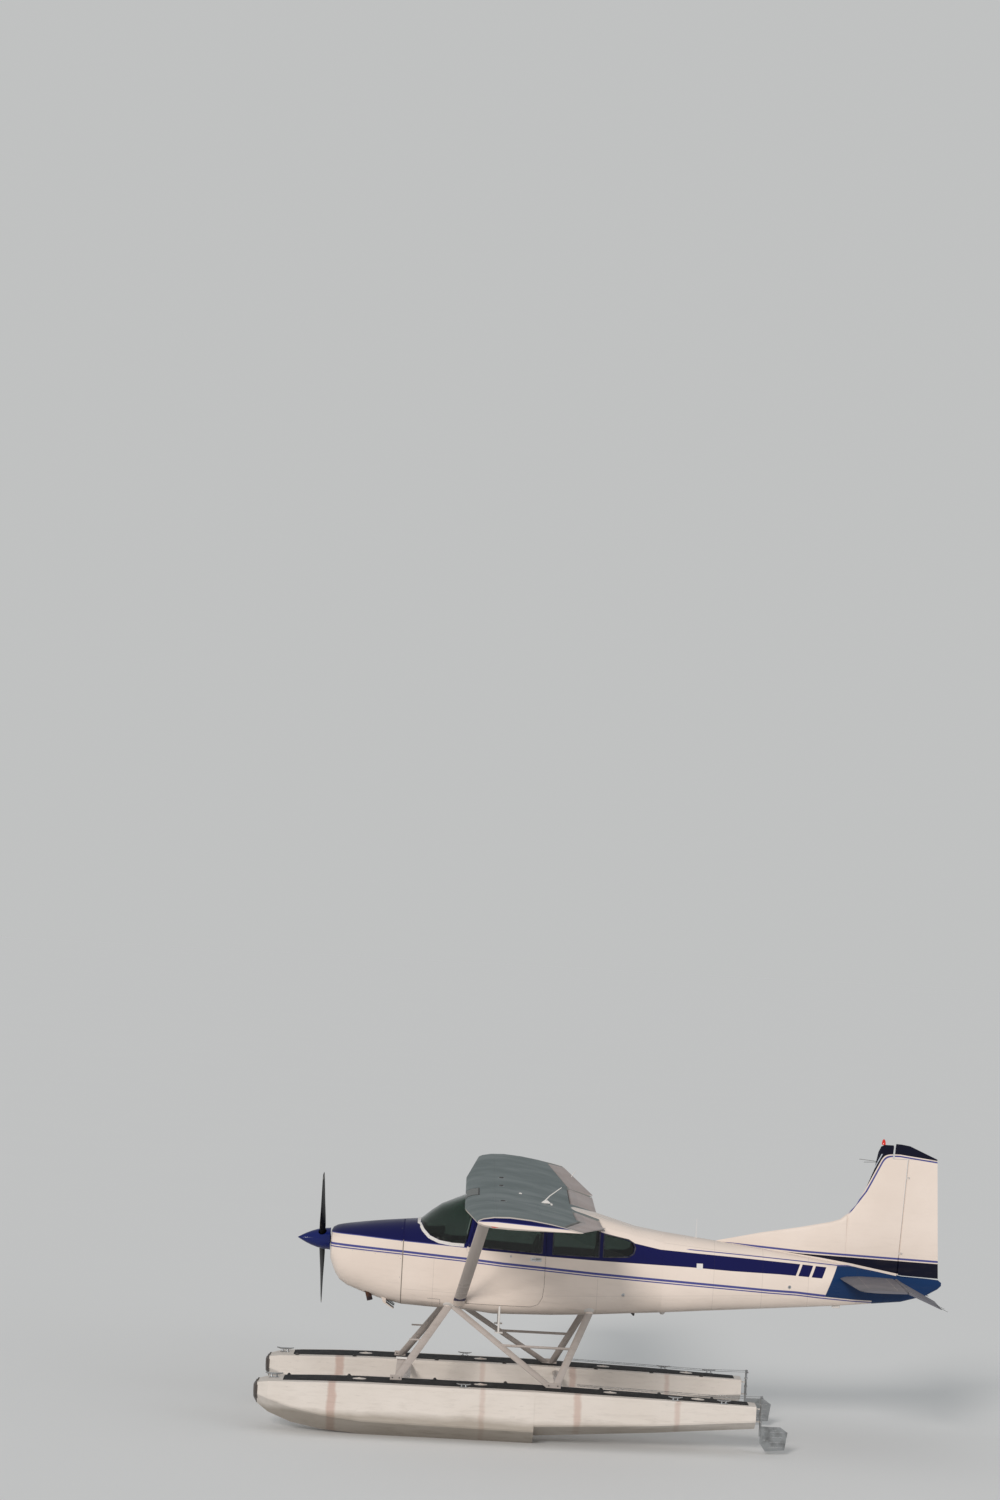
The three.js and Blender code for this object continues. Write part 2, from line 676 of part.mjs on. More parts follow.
// The windshield's lower edge seen from the side, then its edge along the door post.
const WINDSHIELD_BASE = [
  [1467, 330],
  [1475, 305],
  [1520, 225],
  [1600, 150],
  [1720, 100],
  [1880, 78],
  [2030, 74],
];
const POST_TOP = [2125, 520];

function windshieldZone(grow) {
  const base = WINDSHIELD_BASE.map(([x, z]) => [x - grow, z - grow]);
  return [...base.slice(0, -1), [2030 + grow, 74 - grow], [POST_TOP[0] + grow, POST_TOP[1]],
    [POST_TOP[0] + grow, 900], [1400, 900], [1400, 330 - grow]];
}

const roofGrown = roofSolid(SEAM);

function windshield() {
  const PANE = 8;
  const pane = cabinOuter.subtract(
    body(CABIN_SECTIONS, -PANE).add(block([1000, -300, -500], [5000, 300, 150])),
  );
  const cut = pane.intersect(slab(windshieldZone(0))).subtract(roofGrown);
  return cut.decompose().sort((a, b) => b.volume() - a.volume())[0];
}

const SIDE_START = 2045;
const roofLine = [
  [3300, 440],
  [CABIN_END + 10, 200],
];

function bootCowl() {
  const zone = slab([
    [1200, FLOOR + SEAM],
    [SIDE_START - SEAM, FLOOR + SEAM],
    [SIDE_START - SEAM, 900],
    [1200, 900],
  ]);
  return cabinShell.intersect(zone).subtract(slab(windshieldZone(SEAM)));
}

function cabinFloor() {
  const zone = slab([[1200, -900], [4500, -900], [4500, FLOOR], [1200, FLOOR]]);
  return cabinOuter.intersect(zone);
}

const DOOR_FRONT = 2078;
const DOOR_BACK = 3010;
const DOOR_BOTTOM = -648;
const DOOR_TOP = 462; // at the front, from where the door's top slopes down under the wing
const DOOR_TOP_BACK = 428;

// The door's outline from the side, drawn in by a margin.
function doorOutline(margin) {
  const m = margin;
  return [
    [DOOR_FRONT + m, DOOR_BOTTOM + m],
    [DOOR_BACK - 150, DOOR_BOTTOM + m],
    [DOOR_BACK - 60 - m * 0.7, DOOR_BOTTOM + 35 + m * 0.7],
    [DOOR_BACK - 15 - m, DOOR_BOTTOM + 120],
    [DOOR_BACK - m, DOOR_BOTTOM + 260],
    [DOOR_BACK - m, DOOR_TOP_BACK - m],
    [DOOR_FRONT + 112 + m, DOOR_TOP - m],
    [DOOR_FRONT + m, 70],
  ];
}

// Window outlines from the side, drawn in by a margin.
const windowOutlines = {
  door: (m) => [
    [2140 + m, 48 + m],
    [2958 - m, 12 + m],
    [2962 - m, 388 - m],
    [2232 + m, 418 - m],
  ],
  mid: (m) => [
    [3105 + m, 8 + m],
    [3652 - m, 2 + m],
    [3652 - m, 345 - m],
    [3330 + m, 400 - m],
    [3105 + m, 405 - m],
  ],
  aft: (m) => [
    [3722 + m, 2 + m],
    [4020 - m, 20 + m],
    [4078 - m, 62 + m],
    [4092 - m, 125],
    [4068 - m, 178 - m],
    [4010 - m, 210 - m],
    [3722 + m, 268 - m],
  ],
};

// The region below the wing and the roof line, seen from the side.
function sideZone() {
  const wingUnder = AIRFOIL.slice(2)
    .map(([share, , below]) => [
      ROOT_LEAD + share * ROOT_CHORD,
      ROOT_HEIGHT - share * ROOT_CHORD * Math.tan(ROOT_INCIDENCE) - below * ROOT_CHORD - 2,
    ])
    .filter(([x]) => x > POST_TOP[0] && x < roofLine[0][0]);
  return [
    [SIDE_START, FLOOR + SEAM],
    [CABIN_END + 10, FLOOR + SEAM],
    [CABIN_END + 10, roofLine[1][1] - SEAM],
    [roofLine[0][0], roofLine[0][1] - SEAM],
    ...wingUnder.reverse(),
    [POST_TOP[0] + SEAM, 500],
    [2030 + SEAM + 15, 74],
  ];
}

function cabinSide() {
  const half = block([1000, 6, -900], [5000, FAR, 900]);
  let made = cabinShell.intersect(half).intersect(slab(sideZone())).subtract(roofGrown);
  made = made.subtract(slab(doorOutline(-6), 0, 3000));
  for (const key of ["mid", "aft"]) {
    made = made.subtract(slab(windowOutlines[key](0), 0, 3000));
  }
  return made.decompose().sort((a, b) => b.volume() - a.volume())[0];
}

function cabinTopAft() {
  const zone = slab([
    [roofLine[0][0] + SEAM, roofLine[0][1]],
    roofLine[1],
    [CABIN_END + 10, 900],
    [roofLine[0][0] + SEAM, 900],
  ]);
  const cut = cabinShell.intersect(zone).subtract(roofGrown);
  return cut.decompose().sort((a, b) => b.volume() - a.volume())[0];
}

function door() {
  const half = block([1000, 6, -900], [5000, FAR, 900]);
  return cabinShell
    .intersect(half)
    .intersect(slab(doorOutline(0), 0, 3000))
    .subtract(slab(windowOutlines.door(0), 0, 3000));
}

const DOOR_HINGE = [2075, 572]; // station of the door's hinge pins and distance from the centre line
const KNUCKLE_RADIUS = 9;
const KNUCKLE_LENGTH = 26;

// The cabin side and the door, with two knuckle hinges between them.
function doorPieces() {
  let [fixed, moving] = [cabinSide(), door()];
  const [x, y] = DOOR_HINGE;
  for (const z of [-430, 8]) {
    const upper = bar([x, y, z + SEAM / 2], [x, y, z + KNUCKLE_LENGTH], KNUCKLE_RADIUS);
    const lower = bar([x, y, z - KNUCKLE_LENGTH], [x, y, z - SEAM / 2], KNUCKLE_RADIUS);
    const upperLeaf = block([x - 26, y - 26, z + SEAM / 2], [x, y - 3, z + KNUCKLE_LENGTH]);
    const lowerLeaf = block([x, y - 26, z - KNUCKLE_LENGTH], [x + 26, y - 3, z - SEAM / 2]);
    fixed = fixed.add(upper).add(upperLeaf.subtract(block([x, 0, -900], [FAR, FAR, 900])));
    moving = moving.add(lower).add(lowerLeaf);
  }
  return { fixed, moving };
}

function pane(key) {
  const OUTER = 10;
  const THICK = 5;
  const skin = body(CABIN_SECTIONS, -OUTER).subtract(body(CABIN_SECTIONS, -OUTER - THICK));
  return skin.intersect(slab(windowOutlines[key](SEAM), 100, 3000));
}

function rearBulkhead() {
  return insideCabin.intersect(block([4400, -600, FLOOR + SEAM], [4420, 600, 600]));
}

function instrumentPanel() {
  const PANEL = 1745;
  const face = block([PANEL - 20, -600, -240], [PANEL, 600, 190]);
  const shade = block([1500, -600, 165], [PANEL + 25, 600, 190]);
  let made = face.add(shade).intersect(insideCabin);
  const YOKE_SIDE = 265;
  const YOKE_END = PANEL + 210;
  for (const side of [-1, 1]) {
    const y = side * YOKE_SIDE;
    made = made.add(bar([PANEL - 10, y, -20], [YOKE_END, y, -20], 13));
    made = made.add(block([YOKE_END - 10, y - 150, -42], [YOKE_END + 12, y + 150, -12]));
    for (const grip of [-1, 1]) {
      const g = y + grip * 140;
      made = made.add(block([YOKE_END - 12, g - 13, -42], [YOKE_END + 14, g + 13, 85]));
    }
  }
  return made;
}

const SEAT_MIDDLE = 262;

function frontSeat() {
  const half = 215;
  const [y0, y1] = [SEAT_MIDDLE - half, SEAT_MIDDLE + half];
  const seat = slab(
    [[2330, -395], [2800, -425], [2800, -310], [2345, -285], [2325, -330]], y0, y1);
  const back = slab(
    [[2745, -420], [2840, -420], [2965, 165], [2900, 185]], y0 + 8, y1 - 8);
  let made = seat.add(back);
  for (const y of [y0 + 35, y1 - 65]) {
    made = made.add(
      slab([[2370, FLOOR + SEAM], [2790, FLOOR + SEAM], [2770, -400], [2390, -390]], y, y + 30),
    );
  }
  return made;
}

function rearSeat() {
  const seat = slab(
    [[3120, -385], [3560, -410], [3560, -290], [3140, -265], [3115, -310]], -440, 440);
  const back = slab([[3500, -400], [3600, -400], [3720, 110], [3655, 130]], -430, 430);
  let made = seat.add(back);
  for (const y of [-360, -15, 330]) {
    made = made.add(
      slab([[3160, FLOOR + SEAM], [3560, FLOOR + SEAM], [3540, -390], [3180, -380]], y, y + 30),
    );
  }
  return made;
}

// Tail

const FIN_HINGE_LOW = [7372, -66];
const FIN_HINGE_HIGH = [7446, 1344];
const FIN_TOP = 1345;
const HORN_FRONT = 7240; // station of the gap between the fin's cap and the rudder's horn

// The station of the rudder hinge line at a height.
function rudderHinge(height) {
  const [[x0, z0], [x1, z1]] = [FIN_HINGE_LOW, FIN_HINGE_HIGH];
  return x0 + ((height - z0) / (z1 - z0)) * (x1 - x0);
}

// A thin lens section of the fin at a height, blunt behind.
function finRing(height, lead, trail, thick) {
  const back = trail - lead;
  const right = [
    [0, 0.0],
    [0.02, 0.3],
    [0.12, 0.75],
    [0.4, 1],
    [0.75, 0.85],
    [1, 0.62],
  ];
  const place = (side) => ([share, wide]) => [lead + share * back, side * wide * thick, height];
  return [...right.map(place(1)), ...right.slice(1).map(place(-1)).reverse()];
}

// Columns: height, leading station, half thickness
const FIN_SECTIONS = [
  [-150, 6560, 48],
  [350, 6590, 44],
  [609, 6679, 40],
  [757, 6807, 38],
  [972, 6919, 35],
  [1198, 7007, 31],
  [FIN_TOP, 7036, 29],
];
// Columns: station, top height, half thickness at the foot
const DORSAL_SECTIONS = [
  [5082, 226, 8],
  [5643, 357, 22],
  [6132, 451, 32],
  [6497, 532, 38],
  [6620, 572, 41],
  [6700, 640, 41],
];
const tailGrown = body(TAIL_SECTIONS, SEAM);

function fin() {
  const hingeGap = 30;
  let made = loft(
    FIN_SECTIONS.map(([z, lead, thick]) => finRing(z, lead, rudderHinge(z) - hingeGap, thick)),
  );
  const dorsal = loft(
    DORSAL_SECTIONS.map(([x, top, thick]) => {
      const right = [[thick, -200], [thick, top - 60], [thick * 0.6, top - 14], [0, top]];
      const left = right.slice(0, 3).map(([y, z]) => [-y, z]).reverse();
      return [...right, ...left].map(([y, z]) => [x, y, z]);
    }),
  );
  made = made.add(dorsal);
  const cap = loft([
    finRing(FIN_TOP - 5, 7035, HORN_FRONT - 10, 26),
    finRing(1420, 7050, HORN_FRONT - 6, 26),
    finRing(1490, 7082, HORN_FRONT, 22),
    finRing(1512, 7118, HORN_FRONT - 4, 14),
  ]);
  return made.add(cap).subtract(tailGrown);
}

function rudderSurface() {
  const main = surface(
    [-100, FIN_TOP + 8].map((z) => ({
      at: [rudderHinge(z), 0, z],
      radius: z < 0 ? 28 : 19,
      chord: THREE.MathUtils.mapLinear(z, -82, 1338, 7857, 7784) - rudderHinge(z),
    })),
    "z",
  );
  const horn = loft(
    [FIN_TOP + SWING, 1480, 1530].map((z, i) => finRing(z, HORN_FRONT + 14 + 6 * i, 7780, 22 - 4 * i)),
  );
  const outline = [
    [7000, 1540],
    [7330, 1528],
    [7440, 1512],
    [7790, 1362],
    [7900, 1300],
    [7900, -95],
    [7410, -76],
    [7330, -64],
    [7000, -64],
  ];
  return main.add(horn).intersect(slab(outline));
}

// The fin and the rudder, hinged to it.
function finPieces() {
  let [fixed, moving] = [fin(), rudderSurface()];
  for (const height of [190, 1120]) {
    [fixed, moving] = hinged(fixed, moving, [rudderHinge(height), 0, height], 50, "z");
  }
  return { fixed, moving };
}

const BEACON_STATION = 7112;

function beacon() {
  const base = 1512 + SEAM;
  const profile = [[0, 0], [24, 0], [24, 22], [20, 48], [10, 66], [0, 70]];
  const points = profile.map(([radius, z]) => new THREE.Vector2(radius, z));
  const geometry = new THREE.LatheGeometry(points, 16).rotateX(Math.PI / 2);
  return solid(geometry.translate(BEACON_STATION, 0, base));
}

const STAB_HEIGHT = -140;
const ELEVATOR_HINGE = 7335;
const ELEVATOR_DROOP = 24;
const STAB_TIP = 1630;
const ELEVATOR_INNER = 92;

function stabilizer() {
  // Columns: distance from the centre line, leading station, trailing station, half thickness
  const rows = [
    [60, 6632, ELEVATOR_HINGE - 36, 38],
    [1540, 6738, ELEVATOR_HINGE - 30, 26],
    [STAB_TIP, 6800, ELEVATOR_HINGE - 30, 14],
  ];
  const rings = rows.map(([y, lead, trail, thick]) =>
    finRing(0, lead, trail, thick).map(([x, rise]) => [x, y, STAB_HEIGHT + rise]),
  );
  return loft(rings).subtract(tailGrown);
}

function elevator() {
  const stations = [
    { at: [ELEVATOR_HINGE, ELEVATOR_INNER, STAB_HEIGHT], radius: 27, chord: 150 },
    { at: [ELEVATOR_HINGE, 305, STAB_HEIGHT], radius: 26, chord: 500 },
    { at: [ELEVATOR_HINGE, 1560, STAB_HEIGHT], radius: 19, chord: 430 },
    { at: [ELEVATOR_HINGE, STAB_TIP, STAB_HEIGHT], radius: 12, chord: 390 },
  ];
  return surface(stations, "y", ELEVATOR_DROOP).subtract(tailGrown);
}

// The stabilizer and the elevator of the right-hand side, hinged to it.
function tailPieces() {
  let [fixed, moving] = [stabilizer(), elevator()];
  for (const y of [420, 1380]) {
    [fixed, moving] = hinged(fixed, moving, [ELEVATOR_HINGE, y, STAB_HEIGHT], 50, "y");
  }
  return { fixed, moving };
}

// The tube through the tail cone that joins the elevator halves.
const TORQUE_RADIUS = 13;
const elevatorTube = (radius, from, to) =>
  bar([ELEVATOR_HINGE, from, STAB_HEIGHT], [ELEVATOR_HINGE, to, STAB_HEIGHT], radius);

function tailCone() {
  const TAIL_WALL = 16;
  const inner = TAIL_SECTIONS.slice(0, 5).map((row) => [...row]);
  inner[0][0] -= 20;
  const shell = body(TAIL_SECTIONS).subtract(body(inner, -TAIL_WALL));
  return shell.subtract(elevatorTube(TORQUE_RADIUS + SWING, -400, 400));
}

function boardingStep() {
  const foot = block([2440, 470, -985], [2540, 560, -973]);
  return bar([2487, 500, -640], [2487, 505, -975], 13).subtract(bodyGrown).add(foot);
}

// Assembly

const aircraft = new THREE.Group();
aircraft.position.set(-(BOW + TAIL_END) / 2, 0, -KEEL);
const object = new THREE.Group();
object.add(aircraft);

function place(name, made, material) {
  const mesh = new THREE.Mesh(geometryOf(made), material);
  mesh.name = name;
  aircraft.add(mesh);
  return mesh;
}

// The same piece on both sides, modelled on the right.
function placePair(name, made, material) {
  place(`${name}_right`, made, material);
  place(`${name}_left`, made, material).scale.y = -1;
}

const wingRight = wingPieces();
const tailRight = tailPieces();
const finRudder = finPieces();
const doorRight = doorPieces();

place("cowling", cowling(), WHITE);
place("engine_block", engineBlock(), IRON);
place("exhaust_pipe", exhaust(), IRON);
place("firewall", firewall(), SILVER);
place("spinner", spinner(), NAVY);
place("propeller", propeller(), BLACK);
place("boot_cowl", bootCowl(), WHITE);
place("cabin_floor", cabinFloor(), WHITE);
place("cabin_roof", roofSolid(), WHITE);
place("cabin_top_aft", cabinTopAft(), WHITE);
place("windshield", windshield(), GLASS);
place("rear_bulkhead", rearBulkhead(), TRIM);
place("instrument_panel", instrumentPanel(), TRIM);
place("rear_seat", rearSeat(), CLOTH);
place("tail_cone", tailCone(), BLUE);
place("fin", finRudder.fixed, WHITE);
place("rudder", finRudder.moving, WHITE);
place("beacon", beacon(), RED);
place("front_spreader", spreader(1400), SILVER);
place("rear_spreader", spreader(3250), SILVER);
placePair("cabin_side", doorRight.fixed, WHITE);
placePair("door", doorRight.moving, WHITE);
placePair("door_glass", pane("door"), GLASS);
placePair("mid_window", pane("mid"), GLASS);
placePair("aft_window", pane("aft"), GLASS);
placePair("front_seat", frontSeat(), CLOTH);
placePair("wing", wingRight.wing, WHITE);
placePair("flap", wingRight.flap, WHITE);
placePair("aileron", wingRight.aileron, WHITE);
placePair("wing_strut", wingStrut(), GREY);
placePair("stabilizer", tailRight.fixed, WHITE);
place("elevator_right", tailRight.moving.add(elevatorTube(TORQUE_RADIUS, -ELEVATOR_INNER + SEAM, 120)), WHITE);
place("elevator_left", tailRight.moving, WHITE).scale.y = -1;
placePair("float", floatWithLugs(), SILVER);
placePair("front_gear_strut", frontGearStrut(), GREY);
placePair("rear_gear_strut", gearStrut(BELLY_REAR, DECK_REAR, REAR_STRUT), GREY);
placePair("gear_brace", gearBrace(), GREY);
placePair("water_rudder", waterRudder(), SILVER);
placePair("boarding_step", boardingStep(), GREY);

export default object;
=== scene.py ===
"""The looks of the floatplane: paint, glass, cabin fittings and small parts that its CAD solids leave out.

Places are given as in the CAD source, in metres: aft of the spinner's tip, to the right, and above the
thrust line.
"""

import json
import math

import bmesh
import bpy
from mathutils import Matrix, Vector
from mathutils.bvhtree import BVHTree

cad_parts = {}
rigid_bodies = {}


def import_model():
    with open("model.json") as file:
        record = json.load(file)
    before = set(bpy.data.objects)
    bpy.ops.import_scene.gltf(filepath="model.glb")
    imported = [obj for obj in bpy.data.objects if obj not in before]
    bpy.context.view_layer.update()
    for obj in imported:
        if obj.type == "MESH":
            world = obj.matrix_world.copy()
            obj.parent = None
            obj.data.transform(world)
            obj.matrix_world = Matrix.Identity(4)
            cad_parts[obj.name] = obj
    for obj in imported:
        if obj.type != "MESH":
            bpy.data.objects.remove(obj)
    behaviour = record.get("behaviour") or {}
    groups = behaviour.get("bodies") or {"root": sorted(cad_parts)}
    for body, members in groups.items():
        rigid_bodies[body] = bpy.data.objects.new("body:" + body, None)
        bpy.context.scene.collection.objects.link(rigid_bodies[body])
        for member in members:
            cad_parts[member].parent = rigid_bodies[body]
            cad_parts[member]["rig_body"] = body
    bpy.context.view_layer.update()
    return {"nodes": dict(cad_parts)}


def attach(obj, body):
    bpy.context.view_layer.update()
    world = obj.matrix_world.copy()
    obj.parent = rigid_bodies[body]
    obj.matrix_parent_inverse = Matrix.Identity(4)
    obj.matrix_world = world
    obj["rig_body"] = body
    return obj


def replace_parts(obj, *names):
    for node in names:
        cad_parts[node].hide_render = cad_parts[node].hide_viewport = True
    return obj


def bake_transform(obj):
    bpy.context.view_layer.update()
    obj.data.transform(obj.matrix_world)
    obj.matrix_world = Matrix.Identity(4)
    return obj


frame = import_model()
nodes = frame["nodes"]

DATUM = Vector((-3.75, 0, 2.18))  # the spinner's tip in the part's own frame
SIDES = {"left": -1, "right": 1}
AFT, RIGHT, UP = Vector((1, 0, 0)), Vector((0, 1, 0)), Vector((0, 0, 1))

# sRGB colours
WHITE = "#E4D6CB"
NAVY = "#0E1048"
NIGHT = "#090A20"
TAIL_BLUE = "#10305A"
STRIPE = "#4A4D8A"
# painted shade: the grey stands for the dim light on the wing's upper faces, whose paint is white
WING_TOP_SHADE = "#667172"
STRUT_GREY = "#B2A9A3"
FLOAT_WHITE = "#D6CEC6"
FLOAT_STAIN = "#B08A7C"
WATERLINE = "#6D6250"
SCUFF = "#8D8A86"
BUMPER = "#4A423E"
CABIN_GREY = "#3E3B38"
DIRT = "#6B5F52"
SOOT = "#3B332C"
JOINT = "#3A3430"


def at(x, y, z):
    """A measured place in the part's own frame."""
    return Vector((x, y, z)) + DATUM


def off(place, x, y, z):
    """The place moved aft, right and up."""
    return place + Vector((x, y, z))


def linear(colour):
    """An sRGB hex colour as linear red, green, blue and alpha."""
    parts = [int(colour[i : i + 2], 16) / 255 for i in (1, 3, 5)]
    return [*[p / 12.92 if p <= 0.04045 else ((p + 0.055) / 1.055) ** 2.4 for p in parts], 1.0]


# Materials


class Graph:
    """A material's nodes, by short calls that each return an output socket."""

    def __init__(self, name, roughness=0.4, metallic=0.0, **inputs):
        self.material = bpy.data.materials.new(name)
        self.material.use_nodes = True
        self.tree = self.material.node_tree
        self.shader = self.tree.nodes["Principled BSDF"]
        self.set(Roughness=roughness, Metallic=metallic, **inputs)
        coords = self.node("TexCoord")
        self.point, self.normal = coords.outputs["Object"], coords.outputs["Normal"]
        px, self.y, pz = self.split(self.point)
        self.x = self.sub(px, DATUM.x)
        self.z = self.sub(pz, DATUM.z)

    def node(self, kind):
        return self.tree.nodes.new("ShaderNode" + kind)

    def feed(self, socket, value):
        if isinstance(value, bpy.types.NodeSocket):
            self.tree.links.new(value, socket)
        else:
            socket.default_value = linear(value) if isinstance(value, str) else value

    def set(self, **inputs):
        """Feeds the shader's inputs, named with _ for a space."""
        for key, value in inputs.items():
            self.feed(self.shader.inputs[key.replace("_", " ")], value)

    def colour(self, value):
        self.set(Base_Color=value)
        return self.material

    def split(self, vector):
        node = self.node("SeparateXYZ")
        self.feed(node.inputs[0], vector)
        return list(node.outputs)

    def math(self, operation, *values, clamp=False):
        node = self.node("Math")
        node.operation, node.use_clamp = operation, clamp
        for socket, value in zip(node.inputs, values):
            self.feed(socket, value)
        return node.outputs[0]

    def sub(self, a, b):
        return self.math("SUBTRACT", a, b)

    def mul(self, a, b):
        return self.math("MULTIPLY", a, b)

    def above(self, value, edge, soft=0.003):
        """1 where value is over the edge, 0 where it is under."""
        return self.math("MULTIPLY_ADD", self.sub(value, edge), 1 / soft, 0.5, clamp=True)

    def below(self, value, edge, soft=0.003):
        return self.sub(1.0, self.above(value, edge, soft))

    def between(self, value, low, high, soft=0.003):
        return self.mul(self.above(value, low, soft), self.below(value, high, soft))

    def all(self, *masks):
        made = masks[0]
        for mask in masks[1:]:
            made = self.mul(made, mask)
        return made

    def any(self, masks):
        made = masks[0]
        for mask in masks[1:]:
            made = self.math("MAXIMUM", made, mask)
        return made

    def groove(self, value, edge, width=0.0035):
        """1 along a skin joint at the edge, fading to 0 at both its sides."""
        away = self.math("ABSOLUTE", self.sub(value, edge))
        return self.sub(1.0, self.math("DIVIDE", away, width, clamp=True))

    def mix(self, share, under, over, blend="MIX"):
        node = self.node("Mix")
        node.data_type, node.blend_type = "RGBA", blend
        for socket, value in zip((node.inputs[0], node.inputs[6], node.inputs[7]), (share, under, over)):
            self.feed(socket, value)
        return node.outputs[2]

    def blend(self, mask, share, under, over):
        """The colour under, with a share of the colour over it where the mask is 1."""
        return self.mix(self.mul(mask, share), under, over)

    def profile(self, value, points):
        """The height at the value of the line through the points, level past both its ends."""
        (start, _), (end, _) = points[0], points[-1]
        low, high = min(z for _, z in points), max(z for _, z in points)
        node = self.node("FloatCurve")
        curve = node.mapping.curves[0]
        places = [((x - start) / (end - start), (z - low) / (high - low)) for x, z in points]
        curve.points[0].location, curve.points[1].location = places[0], places[-1]
        for place in places[1:-1]:
            curve.points.new(*place)
        for point in curve.points:
            point.handle_type = "VECTOR"
        node.mapping.update()
        run = self.math("DIVIDE", self.sub(value, start), end - start, clamp=True)
        self.feed(node.inputs["Value"], run)
        return self.math("MULTIPLY_ADD", node.outputs[0], high - low, low)

    def over(self, line):
        """The height over a line of stations and heights."""
        return self.sub(self.z, self.profile(self.x, line))

    def noise(self, scale, detail=3.0, stretch=(1, 1, 1), roughness=0.5):
        scaled = self.node("VectorMath")
        scaled.operation = "MULTIPLY"
        self.feed(scaled.inputs[0], self.point)
        scaled.inputs[1].default_value = stretch
        node = self.node("TexNoise")
        values = {"Scale": scale, "Detail": detail, "Roughness": roughness, "Vector": scaled.outputs[0]}
        for key, value in values.items():
            self.feed(node.inputs[key], value)
        return node.outputs["Fac"]

    def spread(self, value, low, high):
        """Stretches a value so that low becomes 0 and high becomes 1."""
        return self.math("DIVIDE", self.sub(value, low), high - low, clamp=True)

    def patches(self, low, high, *noise):
        """A noise, stretched."""
        return self.spread(self.noise(*noise), low, high)

    def bump(self, height, strength, distance=0.001, under=None):
        node = self.node("Bump")
        for key, value in {"Strength": strength, "Distance": distance, "Height": height}.items():
            self.feed(node.inputs[key], value)
        if under is not None:
            self.feed(node.inputs["Normal"], under)
        return node.outputs[0]

    def grain(self, strength, distance, *noise):
        """Makes the surface uneven by a noise."""
        self.set(Normal=self.bump(self.noise(*noise), strength, distance))


def worn_paint(g, colour, grime=0.25, low=-2.2, high=0.6, dents=0.25, shine=(0.22, 0.4), joints=None):
    """Sheet metal under old paint: uneven tone, grime that gathers low down, orange peel, shallow dents."""
    tone = g.patches(0.35, 0.65, 1.6, 3)
    colour = g.mix(g.mul(tone, 0.14), colour, "#CFC8BE", "MULTIPLY")
    fall = g.sub(1.0, g.spread(g.z, low, high))
    streaks = g.patches(0.5, 0.78, 7, 5, (0.5, 1, 3), 0.65)
    dirty = g.mul(g.mul(streaks, fall), grime)
    colour = g.mix(dirty, colour, DIRT)
    dull = g.math("MULTIPLY_ADD", tone, shine[1] - shine[0], shine[0])
    g.set(Roughness=g.math("ADD", dull, dirty))
    surface = g.bump(g.noise(240, 2), 0.12, 0.0004)
    surface = g.bump(g.noise(4.5, 1), dents, 0.004, surface)
    if joints is not None:
        surface = g.bump(g.sub(1.0, joints), 0.4, 0.0015, surface)
        colour = g.blend(joints, 0.28, colour, JOINT)
    g.set(Normal=surface)
    return g.colour(colour)


# Lines of stations and heights
NOSE_LINE = [(0.36, 0.1), (0.74, 0.086), (1.29, 0.055), (1.76, 0.038), (2.1, 0.022)]
STRIPE_LINE = [
    (0.36, -0.055), (0.75, -0.073), (1.3, -0.099), (2.05, -0.138), (2.5, -0.173), (3.01, -0.2),
    (3.56, -0.234), (4.19, -0.268), (4.79, -0.3), (5.3, -0.327), (5.78, -0.353), (6.1, -0.363),
    (6.42, -0.389), (6.81, -0.413), (7.1, -0.42),
]
BELT_LOW = [
    (2.0, 0.06), (2.08, 0.036), (2.27, 0.006), (3.0, -0.027), (3.56, -0.045), (4.18, -0.062), (4.78, -0.079),
    (5.29, -0.104), (5.89, -0.119), (6.1, -0.129), (6.5, -0.152),
]
BELT_HIGH = [
    (3.0, 0.5), (3.3, 0.42), (3.72, 0.285), (4.01, 0.225), (4.09, 0.18), (4.41, 0.118), (4.9, 0.087),
    (5.39, 0.059), (6.13, 0.012), (6.6, -0.022),
]
# Heights over STRIPE_LINE or BELT_HIGH
WIDE_STRIPE = (0.018, 0.046)
THIN_STRIPE = (-0.008, 0.006)
PINSTRIPE = (0.03, 0.041)
SLANT = 0.368  # how far the tail's paint edges run aft for each metre up
SLANT_HEIGHT = -0.021  # where the slanted edges' stations are measured
BELT_START, BELT_END = 2.03, 6.13
QUADS = [(6.161, 6.297), (6.33, 6.465)]
TAIL_START, TAIL_END = 6.593, 7.05


def inner_faces(g):
    """1 on the faces of a shell that look towards its middle."""
    _, ny, nz = g.split(g.normal)
    wall = g.below(g.mul(ny, g.y), -0.012, 0.006)
    ceiling = g.all(g.below(nz, -0.25, 0.02), g.above(g.z, -0.02))
    floor = g.all(g.above(nz, 0.25, 0.02), g.below(g.z, -0.4))
    return g.any([wall, ceiling, floor])


# Stations of the body's ring joints, each with the height that it ends at
BODY_JOINTS = [(1.66, -0.12), (3.66, -0.25), (5.08, 0.3), (5.68, 0.3), (6.25, 0.2), (6.86, 0.1)]
# Columns: first and last station, height at the first, rise for each metre aft
LONG_JOINTS = [(1.29, 2.03, -0.52, -0.014), (3.03, 6.85, -0.505, 0.043), (4.46, 6.6, 0.195, -0.092)]
COWL_JOINT = [(0.42, -0.067), (0.75, -0.088), (1.27, -0.114)]


